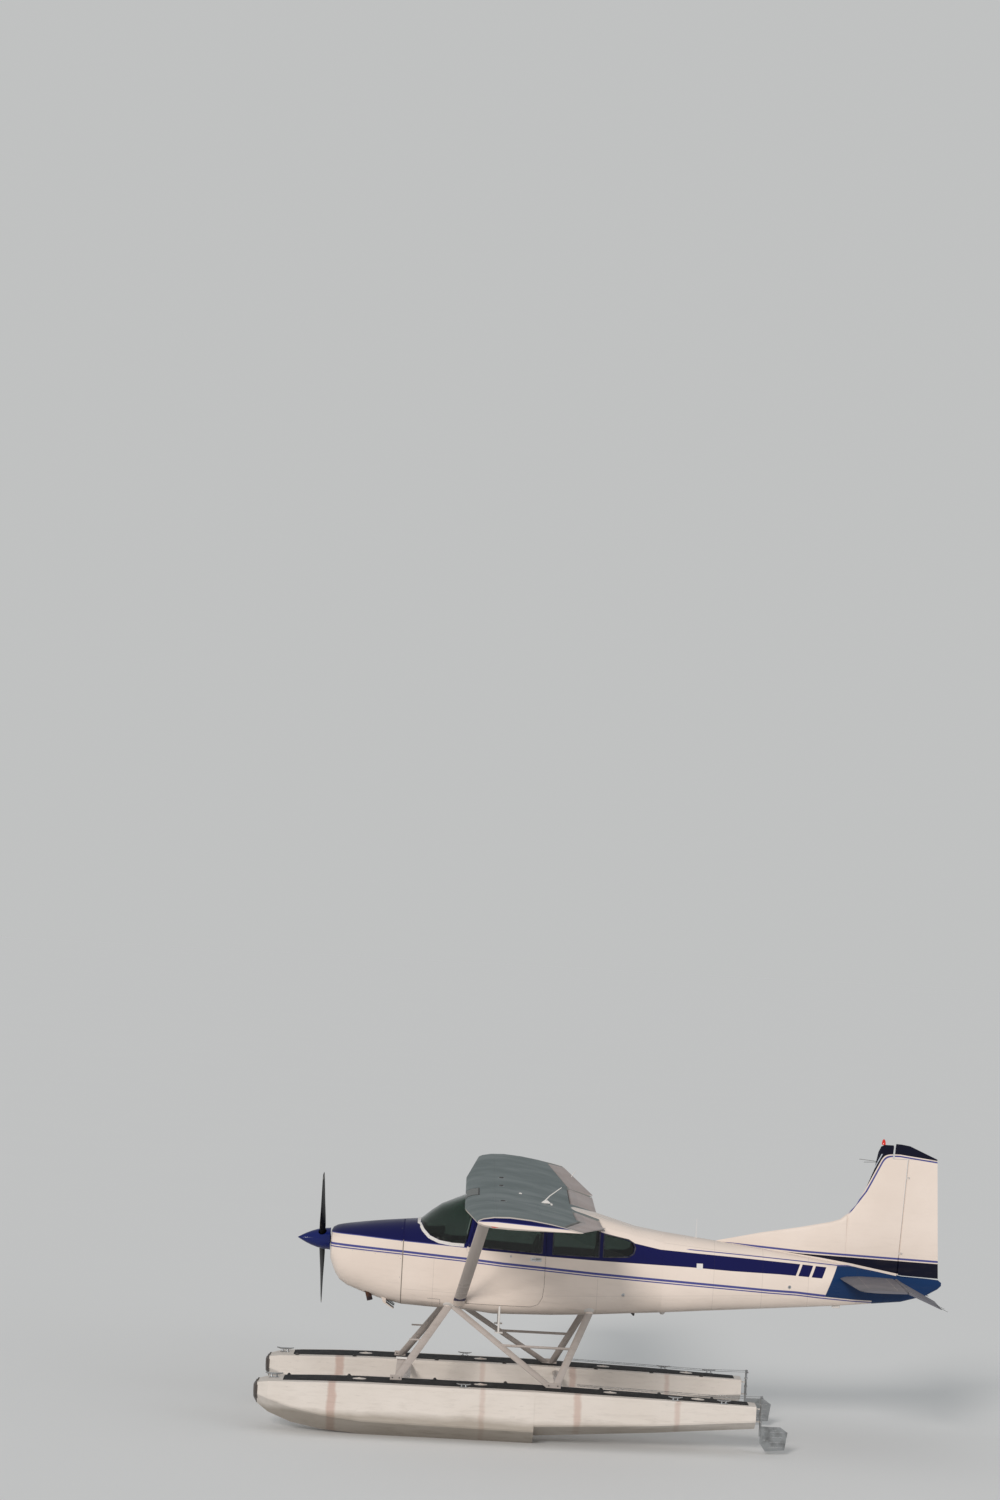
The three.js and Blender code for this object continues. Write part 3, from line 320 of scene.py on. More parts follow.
def body_joints(g):
    joints = [g.all(g.groove(g.x, x), g.below(g.z, top, 0.02)) for x, top in BODY_JOINTS]
    for start, end, height, rise in LONG_JOINTS:
        level = g.sub(g.z, g.math("MULTIPLY_ADD", g.sub(g.x, start), rise, height))
        joints.append(g.all(g.groove(level, 0.0, 0.003), g.between(g.x, start, end, 0.01)))
    split = g.groove(g.over(COWL_JOINT), 0.0, 0.004)
    joints.append(g.all(split, g.between(g.x, COWL_JOINT[0][0], 1.275)))
    return g.any(joints)


def fuselage_paint(name, inside=None):
    """The white, navy and blue scheme along the body."""
    g = Graph(name, Coat_Weight=0.1, Coat_Roughness=0.1, Specular_IOR_Level=0.2)
    nose = g.over(NOSE_LINE)
    ahead = g.below(g.sub(g.x, g.mul(g.sub(g.z, 0.07), 0.2)), 2.06)
    colour = g.mix(g.all(g.above(nose, 0.0), ahead), WHITE, STRIPE)
    colour = g.mix(g.all(g.above(nose, 0.01), ahead), colour, NAVY)
    slant = g.sub(g.x, g.mul(g.sub(g.z, SLANT_HEIGHT), SLANT))
    high = g.over(BELT_HIGH)
    band = g.all(g.above(g.over(BELT_LOW), 0.0), g.below(high, 0.0))
    belt = g.all(band, g.above(g.x, BELT_START), g.below(slant, BELT_END))
    for start, end in QUADS:
        belt = g.math("ADD", belt, g.all(band, g.between(slant, start, end)))
    colour = g.mix(belt, colour, NAVY)
    colour = g.mix(g.all(g.between(high, *PINSTRIPE), g.between(g.x, 4.75, 6.8, 0.05)), colour, STRIPE)
    stripe = g.over(STRIPE_LINE)
    tail = g.all(g.above(slant, TAIL_START), g.above(stripe, 0.02), g.below(high, 0.03))
    colour = g.mix(g.any([tail, g.above(g.x, TAIL_END)]), colour, TAIL_BLUE)
    short = g.below(g.x, TAIL_END)
    wide = g.all(g.between(stripe, *WIDE_STRIPE), short, g.below(slant, TAIL_START))
    for mask in (wide, g.all(g.between(stripe, *THIN_STRIPE), short)):
        colour = g.mix(mask, colour, STRIPE)
    soot = g.all(g.between(g.y, -0.42, -0.08, 0.2), g.between(g.x, 0.9, 3.6, 1.2), g.below(g.z, -0.68, 0.1))
    colour = g.blend(soot, 0.35, colour, SOOT)
    if inside:
        colour = g.mix(inner_faces(g), colour, inside)
    return worn_paint(g, colour, 0.2, -0.75, -0.1, 0.15, joints=body_joints(g))


FIN_STRIPE = [(5.3, 0.206), (6.15, 0.157), (7.01, 0.136), (7.9, 0.111)]
FIN_FOOT = [(5.3, 0.199), (6.39, 0.081), (6.78, 0.029), (7.33, -0.064), (7.5, -0.09)]
CAP_FRONT = [(0.6, 6.70), (0.8, 6.845), (0.93, 6.935), (1.06, 7.0), (1.3, 7.115), (1.6, 7.26)]
CAP_LINE = [(7.0, 1.365), (7.32, 1.372), (7.79, 1.318)]
CAP_BANDS = [(0.0, STRIPE), (-0.018, WHITE), (-0.032, NIGHT)]  # depth that each starts at, going out


def fin_paint():
    """White fin and rudder with a navy cap, leading edge and foot."""
    g = Graph("fin_paint", Coat_Weight=0.1, Coat_Roughness=0.1, Specular_IOR_Level=0.2)
    foot = g.over(FIN_STRIPE)
    colour = g.mix(g.between(foot, -0.012, 0.012), WHITE, STRIPE)
    colour = g.mix(g.below(foot, -0.026), colour, NIGHT)
    colour = g.mix(g.all(g.below(g.over(FIN_FOOT), 0.012), g.below(g.x, 7.36)), colour, WHITE)
    behind = g.sub(g.x, g.profile(g.z, CAP_FRONT))
    under = g.sub(g.profile(g.x, CAP_LINE), g.z)
    depth = g.math("SMOOTH_MIN", g.mul(behind, 0.85), under, 0.11)
    upper = g.above(g.z, 0.66, 0.05)
    for edge, paint in CAP_BANDS:
        colour = g.mix(g.all(g.below(depth, edge), upper), colour, paint)
    light_line = g.all(g.between(behind, -0.074, -0.06), g.below(g.z, 1.4), upper)
    colour = g.mix(light_line, colour, "#B9BFC8")
    return worn_paint(g, colour, 0.12, -0.2, 1.0, 0.15)


WING_JOINTS = [1.32, 1.9, 2.56, 3.85, 5.3]  # distances of the wing's chordwise joints from the centre line
TIP_LINE = [(2.1, 0.735), (2.35, 0.742), (3.3, 0.69)]
TIP_BANDS = [(0.014, STRIPE), (0.022, NAVY)]  # height over TIP_LINE that each starts at
TIP_START = 5.33


def wing_paint():
    """Skins in a painted grey shade on their upper faces, white below, with a navy and white tip."""
    g = Graph("wing_paint", Coat_Weight=0.0, Specular_IOR_Level=0.15)
    span = g.math("ABSOLUTE", g.y)
    # painted shade: faces that look up or aside take the grey, for the dim light that falls on them
    colour = g.mix(g.above(g.split(g.normal)[2], -0.1, 0.3), WHITE, WING_TOP_SHADE)
    colour = g.mix(g.above(span, TIP_START), colour, WHITE)
    rise = g.over(TIP_LINE)
    for edge, paint in TIP_BANDS:
        colour = g.mix(g.all(g.above(span, 5.4), g.above(rise, edge)), colour, paint)
    joints = [g.groove(span, y, 0.005) for y in WING_JOINTS]
    joints.append(g.all(g.groove(g.x, 2.36, 0.005), g.below(span, 5.3)))
    return worn_paint(g, colour, 0.1, 0.2, 1.2, 0.06, (0.4, 0.55), g.any(joints))


# Columns: lower and upper height on a wing strut, furthest distance from the centre line, colour
STRUT_RINGS = [(-0.7, -0.617, 0.62, WHITE), (-0.617, -0.575, 0.66, NAVY)]


def strut_paint():
    """Grey struts. The wing struts have a navy ring and a white cuff at the foot."""
    g = Graph("strut_paint", Coat_Weight=0.1, Coat_Roughness=0.2, Specular_IOR_Level=0.3)
    colour = STRUT_GREY
    for low, high, reach, paint in STRUT_RINGS:
        ring = g.all(g.between(g.z, low, high), g.below(g.math("ABSOLUTE", g.y), reach))
        colour = g.mix(ring, colour, paint)
    return worn_paint(g, colour, 0.35, -1.7, 0.0, 0.05)


BUMPER_END = -0.352  # station
# Columns: first and last station of a stain, its strength
FLOAT_STAINS = [(0.49, 0.59, 0.55), (2.3, 2.36, 0.3), (3.42, 3.5, 0.45), (4.62, 4.68, 0.35)]


def float_paint():
    """White floats, stained where the bulkheads are and along the waterline, with a rubber-capped bow."""
    g = Graph("float_paint", Coat_Weight=0.05, Coat_Roughness=0.3, Specular_IOR_Level=0.3)
    colour = FLOAT_WHITE
    shifted = g.math("ADD", g.x, g.math("MULTIPLY_ADD", g.noise(9, 4), 0.05, -0.025))
    for start, end, share in FLOAT_STAINS:
        colour = g.blend(g.between(shifted, start, end, 0.03), share, colour, FLOAT_STAIN)
    line = g.math("ADD", g.z, g.math("MULTIPLY_ADD", g.noise(5, 5, (0.4, 1, 1)), 0.1, -0.05))
    colour = g.blend(g.sub(1.0, g.spread(line, -1.93, -1.84)), 0.55, colour, WATERLINE)
    colour = g.blend(g.patches(0.6, 0.72, 28, 6, (0.25, 1, 2), 0.7), 0.3, colour, SCUFF)
    colour = g.mix(g.below(g.x, BUMPER_END), colour, BUMPER)
    return worn_paint(g, colour, 0.35, -2.2, -1.3, 0.5, (0.3, 0.5))


def plain_paint(name, colour, roughness=0.35, coat=0.1, specular=0.25):
    g = Graph(name, Coat_Weight=coat, Coat_Roughness=0.12, Specular_IOR_Level=specular)
    return worn_paint(g, colour, 0.15, dents=0.08, shine=(roughness, roughness + 0.15))


def firewall_paint():
    """The firewall in the body's own tones, because its rim is seen in the joint behind the cowling."""
    g = Graph("firewall_paint", 0.6, Specular_IOR_Level=0.1)
    rim = g.mix(g.above(g.z, 0.072), "#8F867D", NAVY)
    g.grain(0.2, 0.0006, 120, 3)
    return g.colour(g.blend(g.noise(9, 4), 0.2, rim, "#4C4640"))


def propeller_paint():
    """Black blades with patches of grey wear and a pale mark near the tip."""
    g = Graph("propeller_paint", 0.5, Specular_IOR_Level=0.3)
    radius = g.math("SQRT", g.math("ADD", g.mul(g.y, g.y), g.mul(g.z, g.z)))
    colour = g.blend(g.patches(0.56, 0.7, 60, 5, (1, 1, 1), 0.7), 0.12, "#0A0A0B", "#4A4A4C")
    colour = g.mix(g.all(g.between(radius, 1.035, 1.06), g.above(g.x, 0.262)), colour, "#8F8B80")
    g.grain(0.1, 0.0005, 300, 2)
    return g.colour(colour)


def metal(name, colour, roughness=0.35, scratch=0.3):
    """Bare metal with a brushed grain and tarnish."""
    g = Graph(name, roughness, 1.0)
    tarnish = g.patches(0.45, 0.7, 12, 5)
    g.set(Roughness=g.math("MULTIPLY_ADD", tarnish, 0.25, roughness))
    g.grain(scratch, 0.0004, 90, 3, (0.08, 1, 1))
    return g.colour(g.blend(tarnish, 0.35, colour, "#4A443E"))


def exhaust_metal():
    """Steel blued and browned by heat."""
    g = Graph("exhaust_metal", 0.45, 0.9)
    g.grain(0.35, 0.001, 70, 4)
    return g.colour(g.mix(g.patches(0.35, 0.65, 14, 4), "#6A4A3C", "#3D3A40"))


def rough_plastic(name, colour, roughness=0.6, grain=350.0, depth=0.35):
    g = Graph(name, roughness)
    g.grain(depth, 0.0008, grain, 3)
    return g.colour(g.blend(g.patches(0.3, 0.7, 20, 4), 0.3, colour, "#8A8782"))


def deck_grip():
    """Black non-skid deck covering, greyed by feet."""
    g = Graph("deck_grip", 0.85)
    g.grain(0.9, 0.0015, 600, 2)
    return g.colour(g.blend(g.patches(0.48, 0.75, 11, 6, (0.6, 1, 1), 0.7), 0.45, "#141417", "#5C5A57"))


THREADS = 260  # of the cloth, for each metre


def cloth(name, colour, thread):
    """Woven seat cloth: crossed threads, with a soft sheen."""
    g = Graph(name, 0.9, Sheen_Weight=0.35, Sheen_Roughness=0.5)
    px, py, pz = g.split(g.point)
    waves = [g.math("SINE", g.mul(g.math("ADD", a, pz), 2 * math.pi * THREADS)) for a in (px, py)]
    weave = g.math("MULTIPLY_ADD", g.mul(*waves), 0.5, 0.5)
    g.set(Normal=g.bump(weave, 0.5, 0.001))
    colour = g.blend(weave, 0.45, colour, thread)
    return g.colour(g.blend(g.patches(0.3, 0.7, 8, 4), 0.25, colour, "#7F7F88"))


def glass(name, colour, upper, roughness=0.03):
    """Tinted acrylic with fine wipe marks, shading to another tint at its top."""
    g = Graph(name, roughness, Transmission_Weight=1.0, IOR=1.45, Specular_IOR_Level=0.25)
    wiped = g.patches(0.4, 0.75, 30, 4, (1, 1, 0.2))
    g.set(Roughness=g.math("MULTIPLY_ADD", wiped, 0.05, roughness))
    tint = g.mix(g.spread(g.z, 0.3, 0.62), colour, upper)
    return g.colour(g.blend(wiped, 0.05, tint, "#E6EFEA"))


LENS_RIBS = 180  # for each metre of height


def lens(name, colour):
    """A moulded lamp lens, ribbed and a little lit from within."""
    g = Graph(name, 0.12, Transmission_Weight=0.35, IOR=1.49, Coat_Weight=0.6, Emission_Color=colour,
              Emission_Strength=0.4)
    g.set(Normal=g.bump(g.math("SINE", g.mul(g.z, 2 * math.pi * LENS_RIBS)), 0.3, 0.001))
    return g.colour(g.blend(g.patches(0.3, 0.7, 40, 2), 0.3, colour, "#2A1010"))


BODY_PAINT = fuselage_paint("body_paint")
SHELL_PAINT = fuselage_paint("shell_paint", CABIN_GREY)
COWL_PAINT = fuselage_paint("cowl_paint", "#3C3F3E")
FIN_PAINT = fin_paint()
WING_PAINT = wing_paint()
# painted shade: the flaps' and ailerons' white paint is darkened to a grey for the dim light on them
SURFACE_SHADE_PAINT = plain_paint("surface_white_painted_shade", "#A89E9B", 0.4, 0.0, 0.15)
# painted shade: the stabilizer's and elevators' white paint is darkened to a grey for the shade on them
TAILPLANE_SHADE_PAINT = plain_paint("tailplane_painted_shade", "#6C6B72", 0.4, 0.0, 0.15)
STRUT_PAINT = strut_paint()
FLOAT_PAINT = float_paint()
SPINNER_PAINT = plain_paint("spinner_paint", "#0C1A58", 0.16, 0.2)
FRAME_WHITE = plain_paint("frame_white", "#DCD8D4", 0.3)
PROPELLER_PAINT = propeller_paint()
FIREWALL_PAINT = firewall_paint()
SEAM_PAINT = plain_paint("seam_paint", "#6F6A68", 0.5)
BRIGHT = metal("bright_metal", "#C9CACB", 0.25)
CAST = metal("cast_metal", "#6C6D6F", 0.5, 0.8)
EXHAUST = exhaust_metal()
RUDDER_METAL = metal("rudder_metal", "#B9BBBC", 0.4, 0.12)
RUBBER = rough_plastic("rubber", "#17171A", 0.75, 200)
BUMPER_RUBBER = rough_plastic("bumper_rubber", BUMPER, 0.8, 200)
TRIM = rough_plastic("cabin_trim", "#1D1D20", 0.65)
LINER = rough_plastic("cabin_liner", CABIN_GREY, 0.8)
GRIP = deck_grip()
SEAT_CLOTH = cloth("seat_cloth", "#2A2C3A", "#565A6E")
GLASS = glass("cabin_glass", "#6F7E76", "#3F6F58")
SKYLIGHT = rough_plastic("skylight_tint", "#1B2A22", 0.35, 500, 0.05)
RED_LENS = lens("red_lens", "#C02418")
GREEN_LENS = lens("green_lens", "#1E8A4A")
DIAL = rough_plastic("dial_marks", "#E6E4DA", 0.5)
DIAL_FACE = rough_plastic("dial_face", "#0C0C0E", 0.35)
WEBBING = cloth("belt_webbing", "#1E1F24", "#3A3B44")

# Nodes under their paint. A pair of nodes is named without the side.
PAINTED = [
    (COWL_PAINT, "cowling"), (BODY_PAINT, "tail_cone"), (FIN_PAINT, "fin rudder"),
    (WING_PAINT, "cabin_roof wing"),
    (SHELL_PAINT, "boot_cowl cabin_floor cabin_top_aft cabin_side door"), (SURFACE_SHADE_PAINT, "flap aileron"),
    (TAILPLANE_SHADE_PAINT, "stabilizer elevator"), (FLOAT_PAINT, "float"), (RUDDER_METAL, "water_rudder"),
    (STRUT_PAINT, "front_spreader rear_spreader wing_strut front_gear_strut rear_gear_strut gear_brace"),
    (FRAME_WHITE, "boarding_step"), (SPINNER_PAINT, "spinner"), (PROPELLER_PAINT, "propeller"),
    (FIREWALL_PAINT, "firewall"), (CAST, "engine_block"), (EXHAUST, "exhaust_pipe"), (RED_LENS, "beacon"),
    (GLASS, "windshield door_glass mid_window aft_window"), (SEAT_CLOTH, "rear_seat front_seat"),
    (LINER, "rear_bulkhead"), (TRIM, "instrument_panel"),
]
NODE_PAINT = {name: paint for paint, names in PAINTED for name in names.split()}
ROUNDED = ("wing_strut", "front_gear_strut", "rear_gear_strut", "gear_brace", "boarding_step", "exhaust",
           "beacon")


def shade(obj, angle):
    """Shades a mesh smoothly, apart from edges sharper than the angle."""
    if "custom_normal" in obj.data.attributes:
        obj.data.attributes.remove(obj.data.attributes["custom_normal"])
    smooth(obj.data)
    obj.modifiers.new("weld", "WELD").merge_threshold = 1e-5
    obj.modifiers.new("edges", "EDGE_SPLIT").split_angle = math.radians(angle)
    obj.modifiers.new("even", "WEIGHTED_NORMAL").keep_sharp = False


def smooth(mesh):
    mesh.polygons.foreach_set("use_smooth", [True] * len(mesh.polygons))


def paint_nodes():
    for name, obj in nodes.items():
        stem = name.rsplit("_", 1)[0]
        obj.data.materials.clear()
        obj.data.materials.append(NODE_PAINT.get(name) or NODE_PAINT[stem])
        shade(obj, 32 if stem in ROUNDED else 20)


# Shapes


def direction(points, i):
    """The way that a path runs at one of its points."""
    return (points[min(i + 1, len(points) - 1)] - points[max(i - 1, 0)]).normalized()


def circle(middle, across, other, radius, sides):
    """Points round a middle, in the plane of two unit vectors."""
    turns = [2 * math.pi * k / sides for k in range(sides)]
    return [middle + (across * math.cos(t) + other * math.sin(t)) * radius for t in turns]


def cut_corners(low, high, cut):
    """The points of a block with cut edges. The cut is given for each axis."""
    points = []
    for corner in range(8):
        pick = [(corner >> k) & 1 for k in range(3)]
        base = [high[k] if pick[k] else low[k] for k in range(3)]
        inner = [base[k] - cut[k] if pick[k] else base[k] + cut[k] for k in range(3)]
        points += [[base[k] if k == keep else inner[k] for k in range(3)] for keep in range(3)]
    return points


class Shape:
    """Gathers closed forms into one piece."""

    def __init__(self):
        self.points, self.faces = [], []

    def add(self, points, faces):
        base = len(self.points)
        self.points += points
        self.faces += [[base + i for i in face] for face in faces]

    def rings(self, rings):
        """Skins rings of equally many points and caps both ends."""
        count = len(rings[0])
        last = (len(rings) - 1) * count
        faces = [list(range(count))[::-1], list(range(last, last + count))]
        for r in range(0, last, count):
            for i in range(count):
                j = (i + 1) % count
                faces.append([r + i, r + j, r + count + j, r + count + i])
        self.add([p for ring in rings for p in ring], faces)

    def tube(self, path, radius, sides=8):
        """A round tube along a path. Its radius is one number, or one for each point."""
        radii = radius if isinstance(radius, list) else [radius] * len(path)
        across, rings = None, []
        for i, point in enumerate(path):
            along = direction(path, i)
            across = across or along.orthogonal()
            across = (across - along * across.dot(along)).normalized()
            rings.append(circle(point, across, along.cross(across), radii[i], sides))
        self.rings(rings)

    def turned(self, origin, axis, profile, sides):
        """A turned form. The profile gives distances along the axis and radii."""
        across = axis.orthogonal().normalized()
        other = axis.cross(across)
        places = [(origin + axis * run, max(radius, 1e-4)) for run, radius in profile]
        self.rings([circle(place, across, other, radius, sides) for place, radius in places])

    def box(self, low, high, cut):
        """A block with cut edges."""
        cut = min(cut, *[(b - a) / 2.2 for a, b in zip(low, high)])
        self.hull(cut_corners(low, high, [cut] * 3))

    def hull(self, points):
        """The convex form around points."""
        made = bmesh.new()
        for point in points:
            made.verts.new(point)
        bmesh.ops.remove_doubles(made, verts=made.verts, dist=1e-6)
        result = bmesh.ops.convex_hull(made, input=made.verts)
        loose = [v for v in result["geom_interior"] if isinstance(v, bmesh.types.BMVert)]
        bmesh.ops.delete(made, geom=loose, context="VERTS")
        made.verts.index_update()
        self.add([v.co.copy() for v in made.verts], [[v.index for v in f.verts] for f in made.faces])
        made.free()

    def dome(self, point, normal, radius, height, sides=6):
        """A rivet or button head, sunk a little into what carries it."""
        profile = [(-0.0005, radius), (height * 0.35, radius * 0.92), (height, radius * 0.45)]
        self.turned(point, normal.normalized(), profile, sides)

    def ribbon(self, points, normals, width, thick):
        """A flat strip along points on a skin."""
        rings = []
        for i, (point, normal) in enumerate(zip(points, normals)):
            side = direction(points, i).cross(normal).normalized() * width / 2
            low, high = point - normal * 0.001, point + normal * thick
            rings.append([low - side, low + side, high + side * 0.8, high - side * 0.8])
        self.rings(rings)

    def patch(self, grid, thick):
        """A sheet over a grid of (point, normal) on a skin."""
        rows, columns = len(grid), len(grid[0])
        flat = [cell for row in grid for cell in row]
        size = rows * columns
        faces = []
        for r in range(rows - 1):
            for c in range(columns - 1):
                a = r * columns + c
                quad = [a, a + 1, a + columns + 1, a + columns]
                faces += [quad[::-1], [size + k for k in quad]]
        edge = list(range(columns))
        edge += [r * columns + columns - 1 for r in range(1, rows)]
        edge += [(rows - 1) * columns + c for c in range(columns - 2, -1, -1)]
        edge += [r * columns for r in range(rows - 2, 0, -1)]
        faces += [[a, b, size + b, size + a] for a, b in zip(edge, edge[1:] + edge[:1])]
        self.add([p - n * 0.001 for p, n in flat] + [p + n * thick for p, n in flat], faces)

    def make(self, name, paint, body="airframe"):
        mesh = bpy.data.meshes.new(name)
        mesh.from_pydata([tuple(p) for p in self.points], [], self.faces)
        made = bmesh.new()
        made.from_mesh(mesh)
        bmesh.ops.recalc_face_normals(made, faces=made.faces)
        made.to_mesh(mesh)
        made.free()
        mesh.materials.append(paint)
        obj = bpy.data.objects.new(name, mesh)
        bpy.context.scene.collection.objects.link(obj)
        smooth(mesh)
        obj.modifiers.new("edges", "EDGE_SPLIT").split_angle = math.radians(35)
        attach(obj, body)
        return obj


class Skin:
    """The outside of some CAD nodes, met by straight lines."""

    def __init__(self, *names):
        points, faces = [], []
        for name in names:
            mesh = nodes[name].data
            base = len(points)
            points += [v.co.copy() for v in mesh.vertices]
            faces += [[base + i for i in p.vertices] for p in mesh.polygons]
        self.tree = BVHTree.FromPolygons(points, faces)

    def hit(self, origin, direction):
        """Where the line first meets the skin, and the skin's normal there, or None."""
        place, normal, _, _ = self.tree.ray_cast(origin, Vector(direction).normalized())
        return (place, normal) if place is not None else None

    def side(self, x, z, side, middle=0.0, reach=3.0):
        """The skin at a station and height, met from the left or right of a middle line."""
        return self.hit(at(x, middle + side * reach, z), (0, -side, 0))

    def top(self, x, y):
        return self.hit(at(x, y, 3), (0, 0, -1))

    def under(self, x, y):
        return self.hit(at(x, y, -4), (0, 0, 1))

    def ring(self, x, degrees, middle=-0.2):
        """The skin at a station, at an angle up from the right-hand side."""
        turn = math.radians(degrees)
        out = Vector((0, math.cos(turn), math.sin(turn)))
        return self.hit(at(x, 0, middle) + out * 3, -out)


def steps(start, end, pace):
    """Even places from start to end, about one pace apart."""
    count = max(1, round(abs(end - start) / pace))
    return [start + (end - start) * i / count for i in range(count + 1)]


def dense(points, pace=0.03):
    """Even places along a line of points."""
    made = [points[0]]
    for a, b in zip(points, points[1:]):
        count = max(1, round(math.dist(a, b) / pace))
        made += [tuple(p + (q - p) * i / count for p, q in zip(a, b)) for i in range(1, count + 1)]
    return made


SKIN_JUMP = 0.16  # between two hits that aren't on one surface


def strip(shape, hits, width, thick):
    """A ribbon along the hits, broken where a line met nothing or the skin jumps."""
    run = []
    for hit in [*hits, None]:
        jumped = hit and run and (hit[0] - run[-1][0]).length > SKIN_JUMP
        if hit is None or jumped:
            if len(run) > 1:
                shape.ribbon([p for p, _ in run], [n for _, n in run], width, thick)
            run = []
        if hit is not None:
            run.append(hit)


def rivet(shape, hits, radius=0.0035, height=0.0012, sides=6):
    for hit in hits:
        if hit:
            shape.dome(*hit, radius, height, sides)


BODY_SKIN = Skin("cowling", "boot_cowl", "cabin_side_left", "cabin_side_right", "door_left", "door_right",
                 "cabin_top_aft", "tail_cone", "cabin_floor")
DOOR_SKIN = {name: Skin(f"door_{name}") for name in SIDES}
WING_SKIN = Skin("wing_left", "wing_right", "cabin_roof")
FLOAT_SKIN = Skin("float_left", "float_right")

# Skin lines and rivets

FULL_RING = (0, 360)
# Columns: station, arc in degrees
BODY_RINGS = [
    (1.66, (-196, 14)), (3.66, (-200, 20)), (4.456, FULL_RING), (5.08, FULL_RING), (5.68, FULL_RING),
    (6.25, FULL_RING), (6.86, FULL_RING),
]
SILL_ROW = (2.1, 2.98, -0.685)  # first and last station of the rivets under a door, height
RIVET_PACE = 0.05
RIVET_OFFSET = 0.013  # from a joint's middle


def body_rivets():
    heads = Shape()
    start, end, sill = SILL_ROW
    for station, arc in BODY_RINGS:
        for offset in (-RIVET_OFFSET, RIVET_OFFSET):
            rivet(heads, [BODY_SKIN.ring(station + offset, a) for a in steps(*arc, 5.5)])
    for side in SIDES.values():
        for x0, x1, height, rise in LONG_JOINTS:
            stations = steps(x0 + 0.03, x1 - 0.03, RIVET_PACE)
            places = [(x, height + rise * (x - x0) - RIVET_OFFSET) for x in stations]
            rivet(heads, [BODY_SKIN.side(x, z, side) for x, z in places])
        rivet(heads, [BODY_SKIN.side(x, sill, side) for x in steps(start, end, RIVET_PACE)])
    heads.make("body_rivets", BODY_PAINT)


def skin_line(shape, look, corners):
    """A thin strip on a skin from corner to corner."""
    for (a0, b0), (a1, b1) in zip(corners, corners[1:]):
        share = [i / 6 for i in range(7)]
        strip(shape, [look(a0 + s * (a1 - a0), b0 + s * (b1 - b0)) for s in share], 0.005, 0.0007)


HATCH = [(1.6, -0.615), (1.755, -0.62), (1.757, -0.69)]  # stations and heights
OIL_DOOR = [(0.86, 0.05), (1.02, 0.05), (1.02, 0.21), (0.86, 0.21), (0.86, 0.05)]  # stations and distances
# First and last station of the cowling's fasteners, height at the first, rise for each metre aft
COWL_STUDS = (0.52, 1.22, -0.088, -0.055)
SPINNER_RADIUS = 0.134


def nose_details():
    lines, studs, ring = Shape(), Shape(), Shape()
    start, end, height, rise = COWL_STUDS
    for side in SIDES.values():
        places = [(x, height + rise * (x - start)) for x in steps(start, end, 0.14)]
        rivet(studs, [BODY_SKIN.side(x, z, side) for x, z in places], 0.0045, 0.0012, 12)
        skin_line(lines, lambda x, z: BODY_SKIN.side(x, z, side), HATCH)
    skin_line(lines, BODY_SKIN.top, OIL_DOOR)
    rivet(studs, [BODY_SKIN.top(x, 0.19) for x in (0.9, 0.98)], 0.008, 0.002, 12)
    rivet(studs, [BODY_SKIN.ring(1.25, angle, -0.1) for angle in steps(-30, 210, 24)], 0.0045, 0.0012, 12)
    lines.make("hatch_lines", SEAM_PAINT)
    studs.make("cowl_fasteners", BRIGHT)
    low, high = SPINNER_RADIUS + 0.0002, SPINNER_RADIUS + 0.0012
    ring.turned(at(0.37, 0, 0), AFT, [(-0.012, low), (-0.01, high), (-0.001, high), (0, low)], 40)
    for i in range(12):
        turn = math.radians(30 * i + 15)
        out = Vector((0, math.cos(turn), math.sin(turn)))
        ring.dome(at(0.364, 0, 0) + out * (SPINNER_RADIUS + 0.001), out, 0.004, 0.0015, 8)
    ring.make("spinner_band", SPINNER_PAINT, "propeller")


BARREL, FIN_EDGE = 0.05, 0.068  # radii of a cylinder's barrel and of its cooling fins
FIN_COUNT, FIN_PITCH, FIN_THICK = 9, 0.012, 0.004


def cylinder_barrels():
    """The finned barrels and baffles seen behind the cooling intakes."""
    barrels, baffles = Shape(), Shape()
    profile = [(0, BARREL)]
    for i in range(FIN_COUNT):
        run = 0.008 + i * FIN_PITCH
        end = run + FIN_THICK
        profile += [(run, BARREL), (run, FIN_EDGE), (end, FIN_EDGE), (end, BARREL)]
    profile.append((0.12, BARREL))
    for side in SIDES.values():
        barrels.turned(at(0.5, side * 0.102, -0.03), RIGHT * side, profile, 24)
        near, far = sorted((side * 0.06, side * 0.3))
        baffles.box(at(0.548, near, -0.12), at(0.556, far, 0.08), 0.003)
    barrels.make("engine_barrels", CAST)
    baffles.make("engine_baffles", CAST)


WINDSHIELD_EDGE = [(2.03, 0.074), (1.88, 0.078), (1.72, 0.1), (1.6, 0.15), (1.52, 0.225), (1.482, 0.285)]
STRIP_OFFSET = Vector((0.014, 0.02))  # of the strip's middle from the windshield's edge


def windshield_frame():
    """The white strip that holds the windshield's lower edge, with its screws."""
    skin = Skin("boot_cowl", "cabin_side_left", "cabin_side_right")
    places = [Vector(place) - STRIP_OFFSET for place in dense(WINDSHIELD_EDGE)]
    left, right = [[skin.side(*place, side) for place in places] for side in SIDES.values()]
    over = [skin.ring(1.452, a) for a in steps(118, 62, 4)]
    path = [hit for hit in left + over + right[::-1] if hit]
    band, screws = Shape(), Shape()
    band.ribbon([p for p, _ in path], [n for _, n in path], 0.042, 0.004)
    for place, normal in path[::2]:
        screws.dome(place + normal * 0.004, normal, 0.004, 0.001, 8)
    band.make("windshield_strip", FRAME_WHITE)
    screws.make("windshield_screws", BRIGHT)


